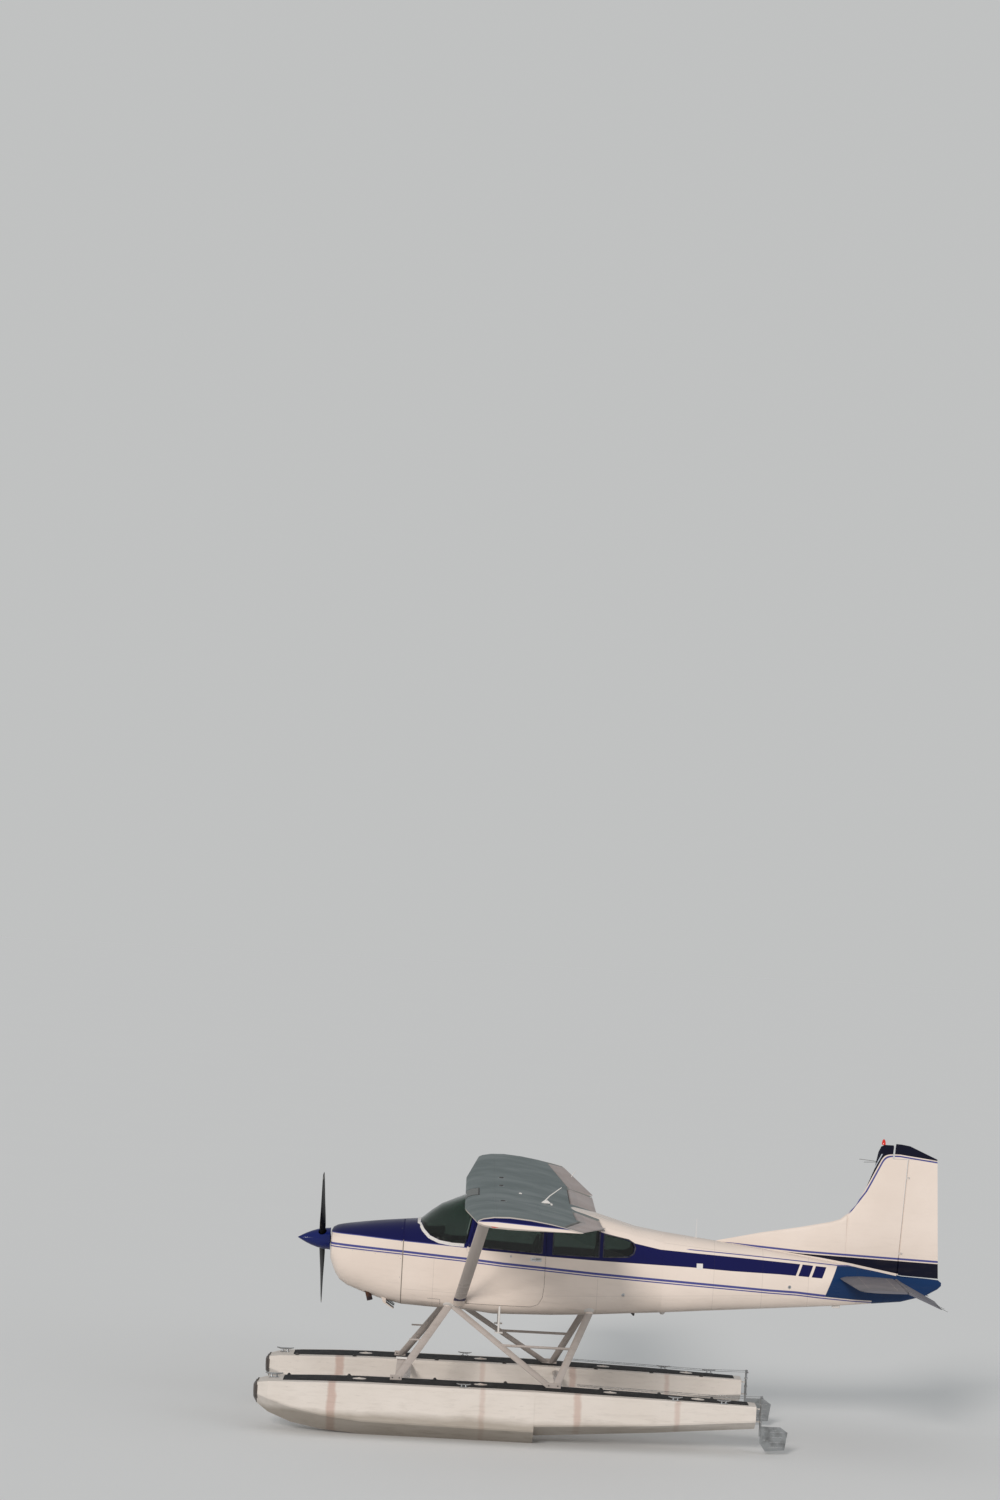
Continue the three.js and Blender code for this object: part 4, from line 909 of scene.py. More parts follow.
WINDOWS = {
    "door": [(2.14, 0.048), (2.958, 0.012), (2.962, 0.388), (2.232, 0.418)],
    "mid": [(3.105, 0.008), (3.652, 0.002), (3.652, 0.345), (3.33, 0.4), (3.105, 0.405)],
    "aft": [(3.722, 0.002), (4.02, 0.02), (4.078, 0.062), (4.092, 0.125), (4.068, 0.178), (4.01, 0.21),
            (3.722, 0.268)],
}
SEAL_OFFSET = 0.0108


def grown(outline, by):
    """The outline moved out from its middle."""
    mx, mz = [sum(values) / len(outline) for values in zip(*outline)]
    made = []
    for x, z in outline:
        share = by / math.hypot(x - mx, z - mz)
        made.append((x + (x - mx) * share, z + (z - mz) * share))
    return made


def window_seals():
    for name, side in SIDES.items():
        side_skin = Skin(f"cabin_side_{name}")
        for key, outline in WINDOWS.items():
            skin, body = (DOOR_SKIN[name], f"door_{name}") if key == "door" else (side_skin, "airframe")
            seal = Shape()
            ring = grown(outline, SEAL_OFFSET)
            strip(seal, [skin.side(x, z, side) for x, z in dense(ring + ring[:1], 0.04)], 0.013, 0.003)
            seal.make(f"{key}_window_seal_{name}", RUBBER, body)


# The gap round a door's lower and rear edges
DOOR_GAP = [(2.11, -0.651), (2.86, -0.651), (2.952, -0.615), (2.998, -0.528), (3.013, -0.388), (3.013, 0.4)]
BEAD_WIDTH = 0.003
BEAD_DEPTH = 0.012


def door_beads():
    """The seal that shows in the gap round each door."""
    places = [Vector((x, 0, z)) for x, z in dense(DOOR_GAP, 0.05)]
    bead = Shape()
    for side in SIDES.values():
        path, normals = [], []
        for i, place in enumerate(places):
            along = direction(places, i)
            out = Vector((along.z, 0, -along.x)) * 0.008
            hits = [BODY_SKIN.side(place.x + k * out.x, place.z + k * out.z, side) for k in (-1, 1)]
            if all(hits):
                normal = (hits[0][1] + hits[1][1]).normalized()
                path.append((hits[0][0] + hits[1][0]) / 2 - normal * BEAD_DEPTH)
                normals.append(normal)
        bead.ribbon(path, normals, BEAD_WIDTH, BEAD_DEPTH - 0.002)
    bead.make("door_seals", BODY_PAINT)


# Columns: station and height from the handle's middle, distance from the door's skin
HANDLE = [(0.045, 0.002, 0.002), (0.04, 0.002, 0.012), (0, 0.001, 0.016), (-0.04, 0, 0.014),
          (-0.048, 0, 0.004)]


def door_fittings():
    for name, side in SIDES.items():
        skin, handle, lock = DOOR_SKIN[name], Shape(), Shape()
        place, normal = skin.side(2.9, -0.072, side)
        heights = (-0.095, -0.072, -0.05)
        handle.patch([[skin.side(x, z, side) for x in steps(2.83, 2.965, 0.02)] for z in heights], 0.002)
        handle.tube([off(place, x, 0, z) + normal * lift for x, z, lift in HANDLE], 0.006)
        handle.make(f"door_handle_{name}", BRIGHT, f"door_{name}")
        spot, face = skin.side(2.59, -0.05, side)
        lock.dome(spot, face, 0.013, 0.003, 16)
        lock.dome(spot + face * 0.003, face, 0.006, 0.002, 10)
        lock.make(f"door_lock_{name}", BRIGHT, f"door_{name}")


PORTS = [(6.02, -0.27), (3.98, -0.45)]  # stations and heights
# The antenna under the tail: columns are station from its middle, half thickness, height
BELLY_BLADE = [(-0.035, 0.006, 0.01), (0.04, 0.006, 0.01), (0.018, 0.003, -0.045), (0.036, 0.003, -0.045)]


def small_body_parts():
    dark, white, bright = Shape(), Shape(), Shape()
    for x, z in PORTS:
        for side in SIDES.values():
            spot, face = BODY_SKIN.side(x, z, side)
            bright.dome(spot, face, 0.022, 0.0015, 16)
            dark.dome(spot + face * 0.001, face, 0.008, 0.001, 10)
    spot, face = BODY_SKIN.top(4.858, 0)
    white.dome(spot, face, 0.018, 0.008, 14)
    white.tube([spot, off(spot, 0.002, 0, 0.235)], [0.004, 0.0018])
    low = BODY_SKIN.under(4.115, 0)[0]
    dark.hull([off(low, x, y, z) for x, half, z in BELLY_BLADE for y in (-half, half)])
    white.dome(BODY_SKIN.under(4.49, 0)[0], -UP, 0.04, 0.035, 14)
    low = BODY_SKIN.under(6.62, 0)[0]
    white.box(off(low, -0.05, -0.012, -0.03), off(low, 0.05, 0.012, 0.012), 0.006)
    stations, heights = (4.862, 4.9, 4.938), (-0.1, -0.065, -0.03)
    white.patch([[BODY_SKIN.side(x, z, -1) for x in stations] for z in heights], 0.002)
    dark.make("ports_and_belly_antenna", RUBBER)
    white.make("whip_and_tie_down", FRAME_WHITE)
    bright.make("port_plates", BRIGHT)


# Wing

WING_RIBS = [0.95, 1.35, 1.75, 2.15, 2.55, 2.95, 3.4, 3.85, 4.3, 4.75, 5.2]
SPARS = [2.33, 2.86]
KINK = 2.54  # where the wing starts to taper
# Stations of the fixed skin's edges at the kink, and how far they move by the tip
SKIN_FRONT, FRONT_TAPER = 2.05, 0.143
FLAP_LINE, AILERON_LINE, AILERON_TAPER = 3.27, 3.29, 0.2


def wing_chord(y):
    """The first and last station of the fixed skin at a distance from the centre line."""
    share = max(0.0, (y - KINK) / (TIP_START - KINK))
    rear = FLAP_LINE if y < KINK else AILERON_LINE - AILERON_TAPER * share
    return SKIN_FRONT + FRONT_TAPER * share, rear


def wing_rivets():
    heads = Shape()
    for side in SIDES.values():
        for look in (WING_SKIN.top, WING_SKIN.under):
            for y in WING_RIBS:
                rivet(heads, [look(x, side * (y + RIVET_OFFSET)) for x in steps(*wing_chord(y), 0.075)])
            for x in SPARS:
                rivet(heads, [look(x, side * y) for y in steps(0.66, 5.25, 0.065)])
    heads.make("wing_rivets", WING_PAINT)


FUEL_CAPS = [(2.445, -2.0, 0.036), (2.447, 1.9, 0.036), (2.441, 0.87, 0.03)]  # station, distance, radius
COVERS = [(x, y) for y in (1.2, 1.8, 3.2, 4.0, 4.8) for x in (2.6, 3.0)]
# The antenna's foot: columns are first and last station, half width, height
ANTENNA_FOOT = [(-0.05, 0.08, 0.02, 0), (0, 0.04, 0.008, 0.035)]


def bent(shape, spot, ways, radius, sides=8):
    """A tube from a spot through places given from it."""
    shape.tube([off(spot, *way) for way in ways], radius, sides)


def wing_top_parts():
    caps, rims, rod, vents, lug = (Shape() for _ in range(5))
    for x, y, size in FUEL_CAPS:
        spot, face = WING_SKIN.top(x, y)
        rims.dome(spot, face, size + 0.01, 0.003, 24)
        caps.dome(spot + face * 0.002, face, size, 0.006, 20)
        caps.box(off(spot, -0.024, -0.004, 0.004), off(spot, 0.024, 0.004, 0.013), 0.002)
    base = WING_SKIN.top(2.963, -0.52)[0]
    foot = []
    for first, last, half, z in ANTENNA_FOOT:
        foot += [off(base, x, y, z) for x, y in ((first, -half), (last, -half), (last, half), (first, half))]
    rod.hull(foot)
    bent(rod, base, [(0, 0, 0.02), (0.06, 0, 0.09), (0.2, 0, 0.2)], [0.01, 0.007, 0.005])
    rod.dome(WING_SKIN.top(3.05, -0.55)[0], UP, 0.018, 0.02, 12)
    rod.dome(*WING_SKIN.top(2.675, 0.17), 0.024, 0.012, 16)
    place = Skin("aileron_right").top(3.4, 4.17)[0]
    bent(lug, place, [(0, 0, 0), (0.03, 0, 0.05), (0.06, 0, 0.09)], [0.006, 0.005, 0.003])
    lug.make("aileron_lug", FRAME_WHITE, "aileron_right")
    for side in SIDES.values():
        spot = WING_SKIN.under(2.5, side * 2.75)[0]
        bent(vents, spot, [(0, 0, 0), (-0.01, 0, -0.05), (-0.05, 0, -0.06)], 0.006)
        rivet(vents, [WING_SKIN.under(x, side * y) for x, y in COVERS], 0.065, 0.0012, 24)
    caps.make("fuel_caps", RUBBER)
    rims.make("fuel_cap_rims", BRIGHT)
    rod.make("wing_antenna", FRAME_WHITE)
    vents.make("vents_and_covers", WING_PAINT)


def skylight():
    """The tinted top of the windshield that laps over the roof's front edge."""
    roof, sheet, edge = Skin("cabin_roof"), Shape(), Shape()
    stations = (2.006, 2.012, 2.025, 2.05, 2.085, 2.12, 2.155)
    sheet.patch([[roof.top(x, y) for y in steps(-0.53, 0.53, 0.15)] for x in stations], 0.004)
    for side in SIDES.values():
        strip(edge, [roof.top(x, side * 0.54) for x in steps(2.006, 2.16, 0.02)], 0.014, 0.005)
    strip(edge, [roof.top(2.163, y) for y in steps(-0.54, 0.54, 0.1)], 0.014, 0.005)
    sheet.make("skylight", SKYLIGHT)
    edge.make("skylight_strip", RUBBER)


# A tip lamp's distances from its middle and radii
TIP_LAMP = [(-0.06, 0.002), (-0.045, 0.014), (-0.015, 0.02), (0.03, 0.018), (0.075, 0.01), (0.1, 0.001)]


def position_lamps():
    for (name, side), paint in zip(SIDES.items(), (RED_LENS, GREEN_LENS)):
        lamp = Shape()
        middle = at(2.34, side * 5.4375, 0.712)
        lamp.rings([circle(middle + AFT * run, RIGHT, UP, size, 14) for run, size in TIP_LAMP])
        lamp.make(f"position_lamp_{name}", paint)


# Columns: node stem, first and last distance from the centre line and their pace, first and last front
# station, first and last rear station, pace along a bead, paint
BEADS = [
    ("flap", (0.66, 2.48, 0.105), (3.42, 3.42), (3.6, 3.6), 0.09, SURFACE_SHADE_PAINT),
    ("aileron", (2.66, 5.14, 0.105), (3.43, 3.18), (3.6, 3.32), 0.09, SURFACE_SHADE_PAINT),
    ("elevator", (0.42, 1.52, 0.11), (7.4, 7.4), (7.68, 7.68), 0.07, TAILPLANE_SHADE_PAINT),
]


def beads():
    """The pressed ribs that stiffen the moving surfaces."""
    for stem, (start, end, pace), fronts, backs, along, paint in BEADS:
        for name, side in SIDES.items():
            skin, ribs = Skin(f"{stem}_{name}"), Shape()
            for y in steps(start, end, pace):
                share = (y - start) / (end - start)
                x0, x1 = [a + share * (b - a) for a, b in (fronts, backs)]
                for look in (skin.top, skin.under):
                    strip(ribs, [look(x, side * y) for x in steps(x0, x1, along)], 0.018, 0.0014)
            ribs.make(f"{stem}_beads_{name}", paint, stem if stem == "elevator" else f"{stem}_{name}")


def tail_parts():
    wicks, whiskers, heads = Shape(), Shape(), Shape()
    fin = Skin("fin")
    for name, side in SIDES.items():
        surface = Skin(f"elevator_{name}")
        for y in (1.2, 1.5):
            place = surface.top(7.68, side * y)[0]
            bent(wicks, place, [(0, 0, 0), (0.07, 0, -0.031), (0.13, 0, -0.056)], [0.003, 0.0025, 0.0015], 6)
        path = [at(7.08, side * 0.02, 1.3), at(6.97, side * 0.15, 1.303), at(6.85, side * 0.28, 1.305)]
        whiskers.tube(path, 0.0025, 6)
        tail = Skin(f"stabilizer_{name}")
        hits = [look(x, side * y) for x in (6.86, 7.2) for look in (tail.top, tail.under)
                for y in steps(0.2, 1.5, 0.06)]
        hits += [fin.side(x, z, side) for z in (0.3, 0.62, 0.95, 1.2) for x in steps(7.0, 7.36, 0.06)]
        hits += [fin.side(7.3 + 0.052 * (z - 0.1), z, side) for z in steps(0.16, 1.25, 0.06)]
        hits += [fin.side(x, 0.27 + 0.09 * (x - 5.9), side) for x in steps(5.9, 7.2, 0.07)]
        rivet(heads, hits, 0.003)
    wicks.make("static_wicks", RUBBER, "elevator")
    whiskers.make("fin_whiskers", RUBBER)
    heads.make("tail_rivets", FIN_PAINT)


# Floats

FLOAT_MIDDLE = 1.3  # distance of a float's centre line from the aircraft's
# Columns: station, half width of the deck
FLOAT_DECK = [
    (-0.36, 0.205), (-0.22, 0.3), (0.06, 0.368), (0.42, 0.396), (0.9, 0.4), (2.95, 0.398), (4.35, 0.345),
    (5.61, 0.215),
]


def half_beam(x):
    for (x0, h0), (x1, h1) in zip(FLOAT_DECK, FLOAT_DECK[1:]):
        if x <= x1:
            return h0 + (h1 - h0) * (x - x0) / (x1 - x0)
    return FLOAT_DECK[-1][1]


# A cleat's horns: columns are distance from its middle, height, radius
CLEAT = [(-0.085, 0.044, 0.005), (-0.05, 0.036, 0.008), (0, 0.034, 0.01), (0.05, 0.036, 0.008),
         (0.085, 0.044, 0.005)]


def cleat(shape, spot, size=1.0):
    """A two-horned cleat lying along the deck."""
    shape.box(spot + Vector((-0.05, -0.02, -0.002)) * size, spot + Vector((0.05, 0.02, 0.006)) * size, 0.003)
    for run in (-0.025, 0.025):
        foot = spot + Vector((run, 0, 0)) * size
        shape.tube([foot, foot + Vector((0, 0, 0.035)) * size], [0.01 * size, 0.008 * size])
    horns = [spot + Vector((run, 0, rise)) * size for run, rise, _ in CLEAT]
    shape.tube(horns, [radius * size for _, _, radius in CLEAT], 10)


WALKWAY = (-0.05, 5.5)  # its first and last station on each float
WALKWAY_SHARE = 0.68  # of the deck's half width
EDGE_SHARE = 0.78  # where cleats and cups stand
DECK_CLEATS = (2.1, 4.62, 5.2)
DECK_CUPS = (0.0, 0.72, 1.75, 2.6, 3.75, 4.45, 5.08)
DECK_HATCHES = (0.85, 2.3, 3.85, 4.9)
FLOAT_FRAMES = (0.42, 0.9, 1.4, 1.95, 2.5, 3.25, 3.8, 4.35, 4.85, 5.3)
BUMPER_LIPS = ((BUMPER_END, 0.016, 0.008), (-0.374, 0.012, 0.005))  # station, width, thickness


def float_side(x, middle, z, edge):
    """Where a float's skin is at a station and height, on its right or left face."""
    return FLOAT_SKIN.side(x, z, edge, middle, 1.0)


def walkways(grip, middle):
    rows = []
    for x in steps(*WALKWAY, 0.1):
        half = half_beam(x) * WALKWAY_SHARE
        rows.append([FLOAT_SKIN.top(x, middle + half * s) for s in (-1, -0.5, 0, 0.5, 1)])
    grip.patch(rows, 0.003)


def deck_hardware(bright, caps, hatches, middle, side):
    cleat(bright, FLOAT_SKIN.top(-0.165, middle)[0], 1.25)
    for x in DECK_CLEATS:
        cleat(bright, FLOAT_SKIN.top(x, middle + side * half_beam(x) * EDGE_SHARE)[0])
    for x in DECK_CUPS:
        spot, face = FLOAT_SKIN.top(x, middle - side * half_beam(x) * EDGE_SHARE)
        caps.dome(spot, face, 0.028, 0.01, 16)
        caps.dome(spot + face * 0.008, face, 0.019, 0.014, 14)
    for x in DECK_HATCHES:
        spot, face = FLOAT_SKIN.top(x, middle)
        hatches.dome(spot + face * 0.002, face, 0.085, 0.006, 28)
        front, rear = [off(spot + face * 0.006, run, 0, 0) for run in (-0.03, 0.03)]
        hatches.tube([front, spot + face * 0.014, rear], 0.004, 6)


# Columns: height of a row along a float, its rise for each metre aft of a station, that station
RIVET_ROWS = [(-1.61, -0.03, 4), (-1.92, 0.05, 3)]
GUNWALE = (-1.575, -0.028, 4.2)
FLOAT_RIVET = (0.004, 0.0015)  # radius and height


def row_height(x, height, rise, start):
    return height + rise * max(0, x - start)


def float_seams(heads, rails, middle):
    """The rows of rivets along a float, and the bead along its gunwale."""
    for edge in SIDES.values():
        for x in steps(0.1, 5.5, 0.06):
            hits = [float_side(x, middle, row_height(x, *row), edge) for row in RIVET_ROWS]
            rivet(heads, hits, *FLOAT_RIVET)
        for x in FLOAT_FRAMES:
            hits = [float_side(x, middle, z, edge) for z in steps(-1.62, -1.86, 0.05)]
            rivet(heads, [hit for hit in hits if hit and abs(hit[1].y) > 0.5], *FLOAT_RIVET)
        path = [float_side(x, middle, row_height(x, *GUNWALE), edge) for x in steps(0.0, 5.58, 0.15)]
        strip(rails, path, 0.016, 0.003)


def bow_bumper(rubber, middle):
    """The lips of the rubber cap round a float's bow."""
    for x, width, thick in BUMPER_LIPS:
        for edge in SIDES.values():
            strip(rubber, [float_side(x, middle, z, edge) for z in steps(-1.8, -1.64, 0.02)], width, thick)
        strip(rubber, [FLOAT_SKIN.top(x, middle + y) for y in steps(-0.14, 0.14, 0.03)], width, thick)


def float_parts():
    grip, bright, caps, hatches, heads, rails, rubber = (Shape() for _ in range(7))
    for side in SIDES.values():
        middle = side * FLOAT_MIDDLE
        walkways(grip, middle)
        deck_hardware(bright, caps, hatches, middle, side)
        float_seams(heads, rails, middle)
        bow_bumper(rubber, middle)
    grip.make("deck_walkways", GRIP)
    bright.make("deck_cleats", BRIGHT)
    caps.make("pump_out_cups", RUBBER)
    hatches.make("deck_hatches", FLOAT_PAINT)
    heads.make("float_rivets", FLOAT_PAINT)
    rails.make("gunwale_beads", FLOAT_PAINT)
    rubber.make("bow_bumpers", BUMPER_RUBBER)


# Columns: station of a strut's foot on the deck, half length of its plates
DECK_FEET = [(1.285, 0.07), (3.17, 0.09)]
BELLY_FEET = (1.858, 1.95, 3.578)  # stations of the struts' upper ends under the belly
FOOT_HALF = 0.026  # half the distance between a foot's two plates
PLATE = Vector((0, 0.008, 0.06))


def gear_fittings():
    plates, bolts, cuffs = Shape(), Shape(), Shape()
    for side in SIDES.values():
        for x, half in DECK_FEET:
            spot = FLOAT_SKIN.top(x, side * 1.24)[0]
            for y in (-FOOT_HALF - PLATE.y, FOOT_HALF):
                low = off(spot, -half, y, -0.004)
                plates.box(low, off(low + PLATE, half * 2, 0, 0), 0.006)
            for run in (-half * 0.6, half * 0.6):
                bolts.tube([off(spot, run, -0.042, 0.03), off(spot, run, 0.042, 0.03)], 0.008)
        rivet(cuffs, [BODY_SKIN.under(x, side * 0.44) for x in BELLY_FEET], 0.062, 0.01, 20)
    plates.make("deck_strut_plates", STRUT_PAINT)
    bolts.make("deck_strut_bolts", CAST)
    cuffs.make("belly_strut_cuffs", FRAME_WHITE)


STEP_WEB = [
    (1.285, -1.0, -1.3), (1.398, -1.0, -1.3), (1.362, -1.13, -1.43), (1.272, -1.19, -1.5),
    (1.335, -1.19, -1.5),
]


def step_bracket():
    """The low step in front of the left front strut, with the web plate under it."""
    tread, web = Shape(), Shape()
    tread.box(at(1.272, -1.035, -1.303), at(1.405, -0.965, -1.281), 0.004)
    corners = [at(*corner) for corner in STEP_WEB]
    web.hull([off(p, *shift) for p in corners for shift in ((0, 0, 0), (0.004, 0, 0), (0, -0.005, -0.003))])
    tread.make("left_step_tread", FRAME_WHITE)
    web.make("left_step_web", STRUT_PAINT)


RUDDER_POST = 5.662
POST_COLLAR = [(0, 0.018), (0.004, 0.021), (0.02, 0.021), (0.024, 0.018)]
BLADE_BOLTS = [(5.72, -1.9), (5.72, -2.0), (5.85, -1.88)]
HORN_ENDS = (-0.085, 0.085)  # distances of a rudder's cables from its post
# Columns: station, distance from the float's middle as a share of the horn's, height
RUDDER_CABLE = [(5.665, 1.0, -1.501), (5.4, 0.95, -1.508), (5.1, 0.9, -1.512)]
DECK_CABLE = [(5.1, 0.9, -1.512), (4.3, 0.8, -1.49), (3.45, 0.7, -1.47)]


def rudder_fittings(shape, name, middle):
    """A water rudder's cap, collars, bolts and beads."""
    shape.dome(at(RUDDER_POST, middle, -1.492), UP, 0.02, 0.012, 12)
    for z in (-1.6, -1.7, -1.8):
        shape.turned(at(RUDDER_POST, middle, z), UP, POST_COLLAR, 14)
    for y in HORN_ENDS:
        shape.dome(at(5.67, middle + y, -1.505), UP, 0.009, 0.008, 8)
    blade = Skin(f"water_rudder_{name}")
    for x, z in BLADE_BOLTS:
        rivet(shape, [blade.side(x, z, edge, middle, 0.5) for edge in SIDES.values()], 0.01, 0.004, 8)
    for z in steps(-1.9, -2.08, 0.06):
        for edge in SIDES.values():
            strip(shape, [blade.side(x, z, edge, middle, 0.5) for x in steps(5.78, 5.94, 0.08)], 0.014, 0.003)


def water_rudder_parts():
    wires = Shape()
    for name, side in SIDES.items():
        middle, body = side * FLOAT_MIDDLE, f"water_rudder_{name}"
        fittings, lines = Shape(), Shape()
        rudder_fittings(fittings, name, middle)
        for y in HORN_ENDS:
            for shape, path in ((lines, RUDDER_CABLE), (wires, DECK_CABLE)):
                shape.tube([at(x, middle + y * share, z) for x, share, z in path], 0.003, 6)
        fittings.make(f"water_rudder_fittings_{name}", BRIGHT, body)
        piece = lines.make(f"water_rudder_cable_{name}", BRIGHT, body)
        piece.parent = None
        del piece["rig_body"]
        piece.modifiers.clear()
        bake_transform(piece)
    wires.make("deck_cables", BRIGHT)


# Seats and instruments

SEAT_VOXEL = 0.012
SWELL_FRAMES = 20
SWELL_PRESSURE = 4
SWELL_CAP = 0.02  # how far a pad's skin may move out
PAD_INSET = 0.014  # how much smaller a pad starts than its place
PAD_CUT = 0.03  # from its edges at the start
CHANNEL_DEPTH = 0.006
CHANNEL_REACH = 0.007  # half width of a sewn channel


def pad_start(corners, near, far):
    """A block with cut edges between side-view corners: low front, low rear, high rear, high front."""
    a, b, c, d = [Vector((x, 0, z)) for x, z in corners]
    sizes = ((b - a).length, far - near, (d - a).length)
    inset, cut = [Vector([by / size for size in sizes]) for by in (PAD_INSET, PAD_CUT)]
    points = []
    for u, v, w in cut_corners(inset, [1 - share for share in inset], cut):
        place = a.lerp(b, u).lerp(d.lerp(c, u), w)
        points.append(at(place.x, near + v * (far - near), place.z))
    return points


def evaluated(obj):
    return obj.evaluated_get(bpy.context.evaluated_depsgraph_get())


def remeshed(obj, size):
    modifier = obj.modifiers.new("voxels", "REMESH")
    modifier.mode, modifier.voxel_size = "VOXEL", size
    mesh = bpy.data.meshes.new_from_object(evaluated(obj))
    obj.modifiers.clear()
    obj.data = mesh


def swell(obj, held):
    """Blows the pad up by cloth simulation, apart from the points that are held."""
    obj.vertex_groups.new(name="held").add(held, 1.0, "REPLACE")
    modifier = obj.modifiers.new("swell", "CLOTH")
    settings = modifier.settings
    settings.use_pressure = True
    settings.uniform_pressure_force = SWELL_PRESSURE
    settings.effector_weights.gravity = 0
    settings.vertex_group_mass = "held"
    modifier.point_cache.frame_start, modifier.point_cache.frame_end = 1, SWELL_FRAMES
    for step in range(1, SWELL_FRAMES + 1):
        bpy.context.scene.frame_set(step)
    swollen = [v.co.copy() for v in evaluated(obj).data.vertices]
    obj.modifiers.clear()
    obj.vertex_groups.clear()
    bpy.context.scene.frame_set(1)
    for vertex, new in zip(obj.data.vertices, swollen):
        move = new - vertex.co
        if move.length > SWELL_CAP:
            move *= SWELL_CAP / move.length
        vertex.co += move


def soften(obj):
    obj.modifiers.new("even", "SMOOTH").iterations = 2
    obj.modifiers.new("fine", "SUBSURF").levels = 1


def pad(name, corners, near, far, channels, rests):
    """A sewn cushion. It rests on a side that faces the way of rests; channels are shares of its width."""
    form = Shape()
    form.hull(pad_start(corners, near, far))
    obj = form.make(name, SEAT_CLOTH)
    obj.modifiers.clear()
    remeshed(obj, SEAT_VOXEL)
    mesh = obj.data
    held = []
    lines = [near + share * (far - near) for share in channels]
    for vertex in mesh.vertices:
        sewn = any(abs(vertex.co.y - line) < CHANNEL_REACH for line in lines)
        if vertex.normal.dot(Vector(rests).normalized()) > 0.8:
            held.append(vertex.index)
        elif sewn:
            held.append(vertex.index)
            vertex.co -= vertex.normal * CHANNEL_DEPTH
    swell(obj, held)
    mesh.materials.clear()
    mesh.materials.append(SEAT_CLOTH)
    smooth(mesh)
    soften(obj)
    obj.modifiers["fine"].render_levels = 1
    return obj


def mirrored(obj, name):
    """A copy of the pad on the other side of the centre line."""
    mesh = obj.data.copy()
    mesh.transform(Matrix.Diagonal((1, -1, 1, 1)))
    mesh.flip_normals()
    twin = bpy.data.objects.new(name, mesh)
    bpy.context.scene.collection.objects.link(twin)
    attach(twin, "airframe")
    soften(twin)
    return twin


# Side views of the pads: low front, low rear, high rear, high front
FRONT_BOTTOM = [(2.328, -0.392), (2.795, -0.42), (2.795, -0.314), (2.345, -0.288)]
FRONT_BACK = [(2.765, -0.34), (2.84, -0.34), (2.962, 0.165), (2.9, 0.182)]
REAR_BOTTOM = [(3.12, -0.384), (3.555, -0.409), (3.555, -0.293), (3.14, -0.268)]
REAR_BACK = [(3.53, -0.33), (3.61, -0.33), (3.72, 0.11), (3.655, 0.128)]
SEAT_CHANNELS = (0.3, 0.7)
BENCH_CHANNELS = (0.17, 0.34, 0.5, 0.66, 0.83)
SEAT_EDGES = (0.05, 0.474)  # distances of a front seat's sides from the centre line
BENCH_PAD_HALF, BENCH_BACK_HALF = 0.438, 0.428
DOWN, BACK = (0, 0, -1), (1, 0, -0.25)  # the ways that pads rest
# Side views of the seats' tubes, each after its radius, and places of the tubes across
SEAT_TUBES = [
    (0.011, [(2.4, -0.4), (2.37, -0.655)]), (0.011, [(2.72, -0.41), (2.76, -0.655)]),
    (0.011, [(2.345, -0.4), (2.785, -0.425), (2.85, -0.36), (2.965, 0.12)]),
]
SEAT_CROSS = [(2.36, -0.402), (2.77, -0.424), (2.965, 0.12)]
BENCH_TUBES = [
    (0.012, [(3.16, -0.39), (3.15, -0.655)]), (0.012, [(3.54, -0.41), (3.56, -0.655)]),
    (0.011, [(3.15, -0.39), (3.58, -0.415), (3.62, -0.33), (3.72, 0.07)]),
]
BENCH_CROSS = [(3.16, -0.392), (3.56, -0.413), (3.72, 0.07)]


def seat_tubes(shape, paths, rows, cross, ends, radius):
    """A seat's frame: the paths at each of the rows, and tubes across between the ends."""
    for y in rows:
        for size, path in paths:
            shape.tube([at(x, y, z) for x, z in path], size, 10)
    for x, z in cross:
        shape.tube([at(x, y, z) for y in ends], radius, 10)


def belt_pieces(name, near, far, x, z):
    """Two halves of a lap belt lying on a cushion, with the buckle between them."""
    webbing, buckle = Shape(), Shape()
    middle = (near + far) / 2
    for edge, end in ((near, middle - 0.03), (far, middle + 0.03)):
        run = [(0.06, 0, -0.05), (0.05, 0.12, 0.012), (0.01, 0.6, 0.02), (0, 1, 0.022)]
        path = [at(x + dx, edge + (end - edge) * share, z + dz) for dx, share, dz in run]
        webbing.ribbon(path, [UP] * 4, 0.046, 0.0025)
    buckle.box(at(x - 0.028, middle - 0.036, z + 0.018), at(x + 0.028, middle + 0.036, z + 0.032), 0.005)
    webbing.make(f"{name}_belt", WEBBING)
    buckle.make(f"{name}_buckle", BRIGHT)


def front_seats():
    near, far = SEAT_EDGES
    pads = [
        pad("seat_pad_right", FRONT_BOTTOM, near, far, SEAT_CHANNELS, DOWN),
        pad("seat_back_right", FRONT_BACK, near + 0.008, far - 0.008, SEAT_CHANNELS, BACK),
    ]
    pads += [mirrored(pads[0], "seat_pad_left"), mirrored(pads[1], "seat_back_left")]
    for piece, name in zip(pads, ("right", "right", "left", "left")):
        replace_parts(piece, f"front_seat_{name}")
    for name, side in SIDES.items():
        low, high = sorted((side * near, side * far))
        rows = (low + 0.035, high - 0.035)
        tubes = Shape()
        seat_tubes(tubes, SEAT_TUBES, rows, SEAT_CROSS, rows, 0.01)
        for y in rows:
            tubes.box(at(2.3, y - 0.014, -0.672), at(2.84, y + 0.014, -0.652), 0.003)
        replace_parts(tubes.make(f"seat_{name}_frame", CAST), f"front_seat_{name}")
        belt_pieces(f"seat_{name}", low, high, 2.6, -0.3)


